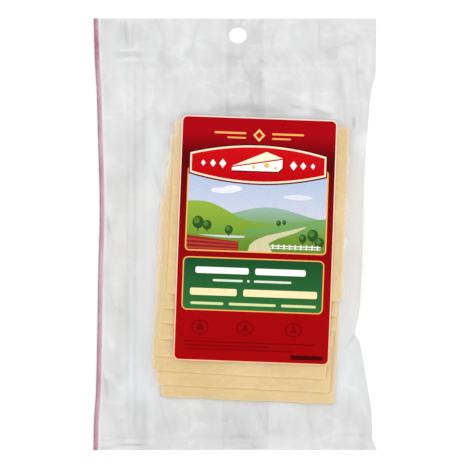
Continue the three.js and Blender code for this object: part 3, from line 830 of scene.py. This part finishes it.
def outward(piece, sharp=40):
    """Merges doubles and turns all faces outwards."""
    mesh = bmesh.new()
    mesh.from_mesh(piece.data)
    bmesh.ops.remove_doubles(mesh, verts=mesh.verts, dist=1e-6)
    bmesh.ops.recalc_face_normals(mesh, faces=mesh.faces)
    mesh.to_mesh(piece.data)
    mesh.free()
    piece.data.set_sharp_from_angle(angle=math.radians(sharp))
    return piece


# The slices, each stepping down over the ends of those beneath. Painted light makes a slice paler as far
# as this beyond the foot of the one over it, lifting the shade at the step; a slice fills this share of its
# thickness, so that no two touch.
PALE_REACH = 2.6
SLICE_FILL = 0.985


def make_slices():
    tree = slice_tree()
    half = SLICE_SIDE / 2
    made = []
    for number, corner in enumerate(SLICE_CORNERS):
        piece = tree.grown(f"cheese_slice_{number + 1}", {"Seed": 3.7 * number + 1.0})
        co = places_of(piece)
        cx, cy, c, s = slice_frame(corner)
        x = cx + co[:, 0] * c - co[:, 1] * s
        y = cy + co[:, 0] * s + co[:, 1] * c
        rise = slice_underside(number, along_stack(x, y))
        z = rise + SLICE_THICKNESS / 2 + co[:, 2] * SLICE_FILL
        # Round its rim the slice is paler, partly its cut edge's own colour and partly painted light; near
        # the next slice's foot, painted light lifts the step's shade
        rim = 1 - ramp(-0.6, 1.0, half - np.maximum(np.abs(co[:, 0]), np.abs(co[:, 1])))
        foot = np.zeros_like(rim)
        if number + 1 < len(SLICE_CORNERS):
            u, v = slice_place(SLICE_CORNERS[number + 1], x, y)
            foot = 1 - ramp(0.0, PALE_REACH, np.maximum(np.abs(u), np.abs(v)) - half)
        lay_on(piece, pale=np.maximum(0.5 * rim, 0.65 * foot))
        piece.data.vertices.foreach_set("co", (np.column_stack([x, y, z]) * MM).ravel())
        piece.data.update()
        made.append(piece)
    return made


# The bag, front and back, as one closed skin: its back's height and rise over the lap seam, the space
# between its mesh points, which is finer over the zip, and the points round the hole
BACK_FOOT_Z = 0.03
BACK_RISE = 0.36
BAG_PITCH_X = 1.0
BAG_PITCH_Y = 1.02
ZIP_PITCH = 0.425
HOLE_POINTS = 48
FIN_HOLE_POINTS = 36


def bag_rim():
    ys = np.linspace(-BAG_HALF_LENGTH, BAG_HALF_LENGTH, 200)
    foot = [(x, -BAG_HALF_LENGTH) for x in np.linspace(film_left(ys[0]), film_right(ys[0]), 130)[1:-1]]
    head = [(x, BAG_HALF_LENGTH) for x in np.linspace(film_right(ys[-1]), film_left(ys[-1]), 130)[1:-1]]
    right = [(float(film_right(y)), float(y)) for y in ys]
    left = [(float(film_left(y)), float(y)) for y in ys[::-1]]
    return right + head + left + foot


def fin_half(y):
    """Half the width of the lap seam, which is wider at the foot."""
    return np.interp(y, (-BAG_HALF_LENGTH, BAG_HALF_LENGTH), (FIN_HALF_FOOT, FIN_HALF_TOP))


def back_height(x, y):
    """The back film lies flat, and a little higher over the lap seam."""
    half = fin_half(y)
    return BACK_FOOT_Z + BACK_RISE * (1 - ramp(half, half + FIN_TENT, np.abs(x - FIN_MIDDLE_X)))


def in_hole(x, y, grow=0.0):
    return (((x - HOLE_MIDDLE[0]) / (HOLE_RADIUS_X + grow)) ** 2
            + ((y - HOLE_MIDDLE[1]) / (HOLE_RADIUS_Y + grow)) ** 2) < 1


def hole_outline(count, grow=0.0):
    turns = np.linspace(0, 2 * math.pi, count + 1)[:-1]
    return [(HOLE_MIDDLE[0] + (HOLE_RADIUS_X + grow) * math.cos(a),
             HOLE_MIDDLE[1] + (HOLE_RADIUS_Y + grow) * math.sin(a)) for a in turns]


def around(x, y, reach):
    """The heap's top at eight places round each place."""
    turns = [math.radians(45 * k) for k in range(8)]
    return [stack_top(x + reach * math.cos(a), y + reach * math.sin(a)) for a in turns]


def film_look(x, y):
    """The film's look by the heap: haze with painted light right of it, a milky edge, painted light at its
    steps and a painted tint of light beside it.
    """
    own = stack_top(x, y)
    margins = np.linspace(HAZE_FROM, HAZE_TO, 41)
    covered = np.mean([stack_top(x, y, margin) > 0 for margin in margins], axis=0)
    outside = HAZE_TO - (HAZE_TO - HAZE_FROM) * covered
    # A band right of the heap is whitened by painted light, which rides on the haze
    right_painted_light = (x > 50) * ramp(-22, 0, y) * (1 - ramp(50, 58, y)) * (own <= 0)
    haze_and_painted_light = np.maximum((1 - ramp(0, HAZE_TO, outside)) * ramp(-0.2, 1.2, outside), right_painted_light)
    wide = ramp(-52, -36, y) * (x < 50)
    milky = np.clip(1 - outside / HAZE_FROM, 0, 1) ** (3.0 - 1.9 * wide) * (1 - ramp(-0.6, 0.8, outside))
    milky *= 0.35 + 0.65 * ramp(-90, -80, y)
    # Painted light round each step of the heap, which lifts the shade at the steps
    foot = np.zeros_like(x)
    for reach in STEP_REACHES:
        highest = np.max(around(x, y, reach), axis=0)
        foot += 0.22 * np.clip((highest - own) / SLICE_THICKNESS, 0, 1) * (own > 0)
    lowest = np.min(around(x, y, STEP_REACHES[0]), axis=0)
    foot = np.maximum(foot, 0.8 * np.clip((own - lowest) / SLICE_THICKNESS, 0, 1))
    # Painted light beside the heap, stronger where the heap is tall, which lifts the heap's shadow and its
    # warm bounce there
    beside = np.mean([stack_top(x, y, margin) / HEAP_HEIGHT for margin in np.arange(1.0, 17.1, 2.0)], axis=0)
    beside = np.clip(1.25 * beside, 0, 1) * (own <= 0) * (1 - ramp(54, 62, y)) * ramp(-98, -84, y)
    return haze_and_painted_light, milky, foot, beside


def make_bag():
    rim = bag_rim()
    hole = hole_outline(HOLE_POINTS)
    columns = np.concatenate([np.arange(-75.0, ZIP_LEFT - 0.5, BAG_PITCH_X),
                              np.arange(ZIP_LEFT - 0.4, ZIP_RIGHT + 0.5, ZIP_PITCH),
                              np.arange(ZIP_RIGHT + 1.2, 77.0, BAG_PITCH_X)])
    rows = np.arange(-BAG_HALF_LENGTH + 0.9, BAG_HALF_LENGTH - 0.5, BAG_PITCH_Y)
    x, y = [g.ravel() for g in np.meshgrid(columns, rows)]
    inside = (x > film_left(y) + 0.5) & (x < film_right(y) - 0.5) & ~in_hole(x, y, 0.45)
    points = rim + hole + list(zip(x[inside], y[inside]))
    edges = ring(len(rim), 0) + ring(len(hole), len(rim))

    def keep(mx, my):
        return (mx > film_left(my) - 0.02) & (mx < film_right(my) + 0.02) & ~in_hole(mx, my)

    places, faces = meshed(points, edges, keep)
    x, y = places.T
    upper, painted_light = film_height(x, y)
    body_points, body = closed_skin(places, faces, upper, back_height(x, y))
    piece = make_piece("film_bag", body_points, body, CLEAR_FILM)
    fringe = 1 - ramp(0.4, 1.8, x - film_left(y))
    haze_and_painted_light, milky, foot, beside = film_look(x, y)
    none = np.zeros_like(x)
    # The front carries the creases' painted highlights and shade, the haze with its painted light, and
    # painted light round the steps and beside the heap
    for name, front, back in (("painted_light", painted_light, none), ("fringe", fringe, fringe), ("haze_and_painted_light", haze_and_painted_light, none),
                              ("foot", foot, none), ("milky", milky, none), ("beside", beside, beside),
                              ("back", none, none + 1)):
        lay_on(piece, **{name: np.concatenate([front, back])})
    return piece


def make_fin():
    """The lap of film that closes the back."""
    ys = np.linspace(-BAG_HALF_LENGTH + 0.4, BAG_HALF_LENGTH - 0.4, 120)
    half = fin_half(ys)
    sway = 0.25 * np.sin(ys / 17) + 0.15 * np.sin(ys / 6.1)
    right = [(float(FIN_MIDDLE_X + h + s), float(y)) for h, s, y in zip(half, sway, ys)]
    left = [(float(FIN_MIDDLE_X - h + s * 0.6), float(y)) for h, s, y in zip(half, sway, ys)][::-1]
    rim = right + left
    x, y = [g.ravel() for g in np.meshgrid(np.arange(-9, 20, 3.0), np.arange(-114, 115, 3.0))]
    inside = (np.abs(x - FIN_MIDDLE_X) < fin_half(y) - 1) & ~in_hole(x, y, 0.6)
    hole = hole_outline(FIN_HOLE_POINTS, 0.05)

    def keep(mx, my):
        return (np.abs(mx - FIN_MIDDLE_X) < fin_half(my) + 0.5) & ~in_hole(mx, my)

    points = rim + hole + list(zip(x[inside], y[inside]))
    places, faces = meshed(points, ring(len(rim), 0) + ring(len(hole), len(rim)), keep)
    low = np.full(len(places), BACK_FOOT_Z)
    points, body = closed_skin(places, faces, low + FIN_THICKNESS, low)
    return make_piece("film_fin", points, body, FIN_FILM)


# The zip and the strip, which follow a path
def make_zip():
    ribs = ["Flange", "Left rib", "Right rib"]
    tree = swept_tree("zip_track", ribs, ZIP_PLASTIC)
    middle = (ZIP_LEFT + ZIP_RIGHT) / 2
    ys = np.linspace(ZIP_FROM_Y + 0.5, ZIP_TO_Y - 0.5, 60)
    path = [(middle * MM, y * MM, 0.0) for y in ys]
    flange_top = ZIP_FOOT_Z + ZIP_FLANGE
    rib_height = ZIP_RIB_TOP_Z - flange_top - 0.04
    values = {"Step": 0.003, "Rounding": 0.00022,
              "Flange width": (ZIP_RIGHT - ZIP_LEFT) * MM, "Flange height": ZIP_FLANGE * MM,
              "Flange offset": (0.0, 0.0, (ZIP_FOOT_Z + ZIP_FLANGE / 2) * MM)}
    for label, rib in zip(ribs[1:], ZIP_RIB_CENTRES):
        values[label + " width"] = ZIP_RIB_WIDTH * MM
        values[label + " height"] = rib_height * MM
        values[label + " offset"] = ((rib - middle) * MM, 0.0, (flange_top + 0.03 + rib_height / 2) * MM)
    return outward(tree.grown("zip_track", values, path))


def make_strip():
    tree = swept_tree("edge_strip_sweep", ["Strip"], MAUVE)
    ys = np.linspace(-BAG_HALF_LENGTH, BAG_HALF_LENGTH, 140)
    path = [((float(strip_left(y)) + STRIP_WIDTH / 2) * MM, float(y) * MM, 0.0) for y in ys]
    values = {"Step": 0.0018, "Rounding": 0.00025, "Strip width": STRIP_WIDTH * MM,
              "Strip height": STRIP_THICKNESS * MM,
              "Strip offset": (0.0, 0.0, (0.04 + STRIP_THICKNESS / 2) * MM)}
    piece = outward(tree.grown("mauve_strip", values, path))
    x, y, _ = places_of(piece).T
    lay_on(piece, across=np.clip((x - strip_left(y)) / STRIP_WIDTH, 0, 1), vivid=through(STRIP_VIVID, y))
    return piece


# The label's print: plain fields and shapes, from the label's middle
def box_of(left, low, right, high, corner=0.0, count=6):
    if corner <= 0:
        return [(left, low), (right, low), (right, high), (left, high)]
    points = []
    for cx, cy, start in ((right - corner, low + corner, -90), (right - corner, high - corner, 0),
                          (left + corner, high - corner, 90), (left + corner, low + corner, 180)):
        for k in range(count + 1):
            a = math.radians(start + 90 * k / count)
            points.append((cx + corner * math.cos(a), cy + corner * math.sin(a)))
    return points


def round_of(cx, cy, radius_u, radius_v=None, count=20):
    radius_v = radius_v or radius_u
    turns = [2 * math.pi * k / count for k in range(count)]
    return [(cx + radius_u * math.cos(a), cy + radius_v * math.sin(a)) for a in turns]


def diamond_of(cx, cy, half_u, half_v):
    return [(cx - half_u, cy), (cx, cy - half_v), (cx + half_u, cy), (cx, cy + half_v)]


def lens_of(half_width, low, high, sag, count=26):
    """A banner with arched long sides."""
    us = np.linspace(-half_width, half_width, count)
    under = [(float(u), low - sag * (1 - (u / half_width) ** 2)) for u in us]
    over = [(float(u), high + sag * (1 - (u / half_width) ** 2)) for u in us[::-1]]
    return under + over


def frame_of(outer, inner):
    """The band between two outlines, as one outline that a cut joins."""
    return outer + [outer[0]] + inner + [inner[0]]


def hill_of(left, right, foot, crest, count=30):
    """A field that ends in a rolling line; crest gives its height at a place."""
    us = np.linspace(left, right, count)
    return [(left, foot), (right, foot)] + [(float(u), float(crest(u))) for u in us[::-1]]


def fade(low, high, first, second):
    """An ink that runs from one colour to another up the label."""
    a = np.array(paint(*first))
    b = np.array(paint(*second))

    def ink(u, v):
        t = np.clip((v - low) / (high - low), 0, 1)[:, None]
        return a + (b - a) * t
    return ink


def plain(*colour):
    return fade(0, 1, colour, colour)


# The label's two framed parts, each as its left, foot, right and head, the width of the pale border,
# and the trees in the picture, each as its place and size
PICTURE = (-36.9, -6.1, 37.3, 38.6)
PANEL = (-37.7, -37.9, 36.7, -10.5)
BORDER = 0.6
TREES = [(-31, 8.5, 3.1), (-26.2, 7.2, 2.4), (-14.5, 5.0, 2.2), (30.5, 3.4, 3.0), (25.2, 1.6, 2.1),
         (34.2, -0.4, 2.6), (12, 9.5, 1.3), (15, 10, 1.1)]
GOLD = plain(244, 178, 92)
CREAM = plain(250, 226, 176)
WHITE = plain(248, 248, 240)


def ground_print():
    """A pale border round red that darkens towards the head."""
    u = LABEL_WIDTH / 2
    v = LABEL_LENGTH / 2
    corner = LABEL_CORNER - 0.5
    return [
        (box_of(-u, -v, u, v, LABEL_CORNER), fade(-60, 60, (255, 192, 158), (255, 220, 204))),
        (box_of(-u + BORDER, -v + BORDER, u - BORDER, v - BORDER, corner),
         fade(-34, 46, (161, 0, 4), (84, 0, 4))),
        (box_of(-u + BORDER, 38, u - BORDER, v - BORDER, corner), fade(45, 57, (88, 0, 5), (166, 0, 14))),
    ]


def picture_print():
    """Fields under a pale sky, with a path, a ploughed field, trees and a fence, in a frame."""
    left, foot, right, head = PICTURE
    cloud = plain(226, 229, 238)
    wood = plain(236, 234, 222)
    sky = box_of(left, foot, right, head - 0.4, 1.5)
    shapes = [
        (sky, fade(8, 36, (206, 208, 220), (172, 191, 220))),
        (round_of(-18, 26, 7, 1.6), cloud),
        (round_of(-13, 27.2, 5, 1.7), cloud),
        (round_of(22, 23.5, 8, 1.4), plain(218, 221, 232)),
        (hill_of(left, right, 5, lambda u: 14.5 + 3.2 * math.sin(u / 11 + 1.0)),
         fade(8, 18, (120, 160, 96), (150, 182, 170))),
        (hill_of(left, right, 2, lambda u: 14.0 - 6.0 * math.tanh((u + 12) / 13) + 0.8 * math.sin(u / 6)),
         fade(0, 18, (104, 150, 44), (142, 174, 60))),
        (hill_of(-6, right, foot, lambda u: 5.2 + 7.2 * (max(u, -6) + 6) ** 0.75 / 43 ** 0.75),
         fade(-4, 12, (96, 146, 60), (116, 164, 96))),
        (hill_of(left, right, foot, lambda u: 2.6 + 1.8 * math.sin(u / 14 - 0.6)),
         fade(-6, 4, (88, 132, 42), (112, 150, 52))),
        ([(-4, foot), (9, foot), (7, -1.5), (12, 1.2), (21, 4.4), (27, 7.6), (26, 7.9), (17, 5.4), (6, 2.6),
          (0, 0), (-3, -2.6)], plain(205, 200, 160)),
        (hill_of(left, -9, foot, lambda u: 1.6 - 0.10 * (u + 37)), plain(150, 34, 30)),
    ]
    for k in reversed(range(6)):
        furrow = hill_of(left, -9, foot, lambda u: foot + 0.5 + 1.15 * k - 0.028 * (u + 37) * k / 2)
        shapes.append((furrow, plain(176, 60, 44) if k % 2 else plain(132, 26, 26)))
    for u, v, size in TREES:
        shapes += [
            (box_of(u - 0.35, v - size * 1.5, u + 0.35, v - size * 0.5), plain(92, 62, 34)),
            (round_of(u, v, size, size * 1.1, 16), plain(38, 84, 34)),
            (round_of(u - size * 0.25, v + size * 0.3, size * 0.55, count=14), plain(74, 124, 48)),
        ]
    shapes += [(box_of(9 + 3 * k, -4.6, 9.7 + 3 * k, -1.9), wood) for k in range(9)]
    shapes += [
        (box_of(8, -3.1, 35, -2.5), wood),
        (box_of(8, -4.3, 35, -3.8), plain(226, 224, 210)),
        (frame_of(box_of(left - 0.7, foot - 0.7, right + 0.7, head, 2.2), sky), GOLD),
    ]
    return shapes


def head_print():
    """An arched banner with a wedge of cheese on it, and diamonds and bars round it."""
    shapes = [
        (lens_of(37.2, 34.5, 46.5, 5.0), plain(96, 0, 8)),
        (lens_of(36.5, 35.2, 45.8, 4.9), plain(250, 226, 196)),
        (lens_of(35.6, 36.0, 45.0, 4.7), fade(31, 50, (182, 0, 8), (204, 8, 18))),
        ([(-13.5, 36.4), (11.0, 36.4), (13.5, 38.6), (13.5, 43.2), (-13.5, 38.2)], plain(60, 0, 6)),
        ([(-14, 37.0), (10.8, 37.0), (13.0, 39.0), (13.0, 43.4), (-14, 38.6)], WHITE),
        ([(-14, 39.3), (13.0, 44.2), (4.4, 47.4)], plain(250, 240, 206)),
    ]
    shapes += [(round_of(u, v, radius), plain(226, 190, 120))
               for u, v, radius in ((-2.5, 38.9, 1.0), (4.6, 40.2, 1.5), (9.4, 38.9, 0.8))]
    for side in (-1, 1):
        for k in range(3):
            size = 1.9 - 0.35 * k
            shapes.append((diamond_of(side * (19.0 + 5.2 * k), 40.5, size, size * 1.3), WHITE))
        for reach, low, high, corner in ((24, 56.6, 57.6, 0.45), (17, 54.2, 55.0, 0.38)):
            first, last = sorted((side * 7, side * reach))
            shapes.append((box_of(first, low, last, high, corner), plain(250, 176, 96)))
    shapes.append((diamond_of(0, 56.2, 3.2, 3.4), plain(252, 196, 120)))
    shapes.append((diamond_of(0, 56.2, 1.9, 2.0), plain(186, 6, 20)))
    return shapes


def panel_print():
    """A framed green panel with plain bars and a dot."""
    left, foot, right, head = PANEL
    mint = plain(214, 228, 206)
    lime = plain(216, 222, 160)
    return [
        (box_of(left - 0.6, foot - 0.6, right + 0.6, head + 0.6, 2.8), GOLD),
        (box_of(left, foot, right, head, 2.2), fade(-38, -10, (40, 110, 55), (10, 76, 39))),
        (box_of(-31.5, -18.6, -3.0, -15.2, 1.0), WHITE),
        (box_of(0.5, -18.6, 27.5, -15.2, 1.0), WHITE),
        (box_of(-22.0, -22.8, -6.0, -21.6, 0.5), mint),
        (round_of(-3.0, -22.2, 0.7), mint),
        (box_of(0.0, -22.8, 20.0, -21.6, 0.5), mint),
        (box_of(-34.0, -30.4, -9.0, -26.6, 1.0), CREAM),
        (box_of(-5.5, -30.4, 34.0, -26.6, 1.0), CREAM),
        (box_of(-33.5, -35.4, -16.0, -34.0, 0.5), lime),
        (box_of(-13.0, -35.4, 12.0, -34.0, 0.5), lime),
        (box_of(15.0, -35.4, 33.5, -34.0, 0.5), lime),
    ]


def foot_print():
    """Faint rings, triangles and bars on the red, and a dark bar in the corner."""
    faint = plain(122, 0, 4)
    shapes = []
    for u in (-28.0, -4.0, 22.0):
        shapes += [
            (round_of(u, -47.5, 4.6, 3.9, 26), faint),
            (round_of(u, -47.5, 3.9, 3.2, 26), plain(160, 0, 5)),
            ([(u - 2.2, -49.0), (u + 2.2, -49.0), (u, -45.0)], faint),
        ]
    for k, last in enumerate((34, 10, 22)):
        shapes.append((box_of(-36, -55.6 - 2.0 * k, last, -54.9 - 2.0 * k, 0.3), faint))
    shapes.append((box_of(21.0, -63.4, 38.4, -61.0, 0.7), plain(70, 0, 4)))
    return shapes


# The longest side of a step along an outline, and the space between the points inside
LABEL_STEP = 2.2
LABEL_PITCH = 1.9


def with_steps(polygon, longest):
    """The same outline with its long sides cut into short steps, so that it bends with the film."""
    dense = []
    for (au, av), (bu, bv) in zip(polygon, polygon[1:] + polygon[:1]):
        parts = max(1, math.ceil(math.hypot(bu - au, bv - av) / longest))
        dense += [(float(au + (bu - au) * k / parts), float(av + (bv - av) * k / parts))
                  for k in range(parts)]
    return dense


def within(polygon, u, v):
    """Whether each place is inside an outline."""
    inside = np.zeros(len(u), bool)
    for (au, av), (bu, bv) in zip(polygon, polygon[1:] + polygon[:1]):
        if av == bv:
            continue
        cross = (av > v) != (bv > v)
        inside ^= cross & (u < (bu - au) * (v - av) / (bv - av) + au)
    return inside


def make_label():
    shapes = ground_print() + picture_print() + head_print() + panel_print() + foot_print()
    points = []
    edges = []
    for polygon, _ in shapes:
        dense = with_steps(polygon, LABEL_STEP)
        edges += ring(len(dense), len(points))
        points += dense
    outline = shapes[0][0]
    us, vs = np.meshgrid(np.arange(-40, 40.5, LABEL_PITCH), np.arange(-64, 64.5, LABEL_PITCH))
    points += list(zip(us.ravel(), vs.ravel()))
    places, faces = meshed(points, edges, lambda u, v: within(outline, u, v))
    c = math.cos(LABEL_TURN)
    s = math.sin(LABEL_TURN)
    x = LABEL_CENTRE[0] + places[:, 0] * c - places[:, 1] * s
    y = LABEL_CENTRE[1] + places[:, 0] * s + places[:, 1] * c
    low = film_height(x, y)[0] + LABEL_GAP
    body_points, body = closed_skin(np.column_stack([x, y]), faces, low + LABEL_THICKNESS, low)
    piece = make_piece("printed_label", body_points, body, PRINT, sharp=60)
    middles = places[faces].mean(axis=1)
    owner = np.zeros(len(faces), int)
    for index, (polygon, _) in enumerate(shapes):
        owner[within(polygon, middles[:, 0], middles[:, 1])] = index
    colours = np.zeros((len(faces), 3, 4))
    for index, (_, ink) in enumerate(shapes):
        mine = np.where(owner == index)[0]
        if len(mine):
            corners = places[faces[mine]].reshape(-1, 2)
            colours[mine] = ink(corners[:, 0], corners[:, 1]).reshape(-1, 3, 4)
    everything = np.tile(paint(244, 240, 236), (len(piece.data.loops), 1))
    everything[:len(faces) * 3] = colours.reshape(-1, 4)
    layer = piece.data.color_attributes.new("ink", "FLOAT_COLOR", "CORNER")
    layer.data.foreach_set("color", everything.astype(np.float32).ravel())
    return piece


slices = make_slices()
bag = make_bag()
fin = make_fin()
zip_track = make_zip()
strip = make_strip()
label = make_label()

for piece in slices + [bag, fin, zip_track, strip, label]:
    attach(piece, "root")
for piece in slices + [bag, fin]:
    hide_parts("bag")
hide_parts("zip")
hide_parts("edge_strip")
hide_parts("front_label")


# The floor, in millimetres as the pieces are
FLOOR_HALF_WIDTH = 3000.0
FLOOR_Z = -0.08
# The camera: its lens and sensor in millimetres, and the width and middle of its view in metres
SENSOR_WIDTH = 36.0
LENS = 500.0
VIEW_WIDTH = 0.2527
VIEW_MIDDLE = (-0.0001, -0.0004)
# How the room's light rises with the height of its direction, from its lower level to its upper
ROOM_FROM = 0.2
ROOM_TO = 1.0
ROOM_LOW = 0.76
ROOM_HIGH = 1.21


def make_floor():
    t = Finish("pale_floor")
    material = t.shown(t.skin({"Base Color": grey(0.95), "Roughness": 0.9, "Specular IOR Level": 0.1}))
    corners = [(a * FLOOR_HALF_WIDTH, b * FLOOR_HALF_WIDTH, FLOOR_Z)
               for a, b in ((-1, -1), (1, -1), (1, 1), (-1, 1))]
    floor = make_piece("floor", corners, [(0, 1, 2, 3)], material, smooth=False)


def make_light(name, place, size, power):
    data = bpy.data.lights.new(name, "AREA")
    data.shape = "RECTANGLE"
    data.size, data.size_y = size
    data.energy = power
    lamp = bpy.data.objects.new(name, data)
    lamp.location = place
    lamp.rotation_mode = "QUATERNION"
    lamp.rotation_quaternion = (Vector((0, 0, 0)) - Vector(place)).to_track_quat("-Z", "Y")
    bpy.context.scene.collection.objects.link(lamp)


def make_room():
    """A pale surround that is brighter from above."""
    world = bpy.data.worlds.new("soft_room")
    bpy.context.scene.world = world
    world.use_nodes = True
    t = Nodes(world.node_tree)
    aim = t.add("ShaderNodeTexCoord").outputs["Generated"]
    height = t.add("ShaderNodeSeparateXYZ", {0: aim}).outputs["Z"]
    level = t.spread(height, ROOM_FROM, ROOM_TO, ROOM_LOW, ROOM_HIGH, interpolation_type="SMOOTHSTEP")
    background = t.tree.nodes["Background"]
    background.inputs["Color"].default_value = grey(1)
    t.tree.links.new(level, background.inputs["Strength"])


def make_camera():
    data = bpy.data.cameras.new("camera")
    data.lens = LENS
    data.sensor_width = SENSOR_WIDTH
    data.clip_start = 0.05
    data.clip_end = 50
    camera = bpy.data.objects.new("camera", data)
    camera.location = (*VIEW_MIDDLE, VIEW_WIDTH * LENS / SENSOR_WIDTH)
    bpy.context.scene.collection.objects.link(camera)
    bpy.context.scene.camera = camera


make_floor()
make_room()
make_light("left_softbox", (-0.9, 0.3, 1.0), (0.6, 1.0), 2.5)
make_light("right_softbox", (0.9, 0.1, 0.9), (0.45, 1.0), 1.9)
make_camera()
bpy.context.scene.cycles.transparent_max_bounces = 32
bpy.context.scene.view_settings.view_transform = "Standard"
bpy.context.scene.view_settings.look = "None"
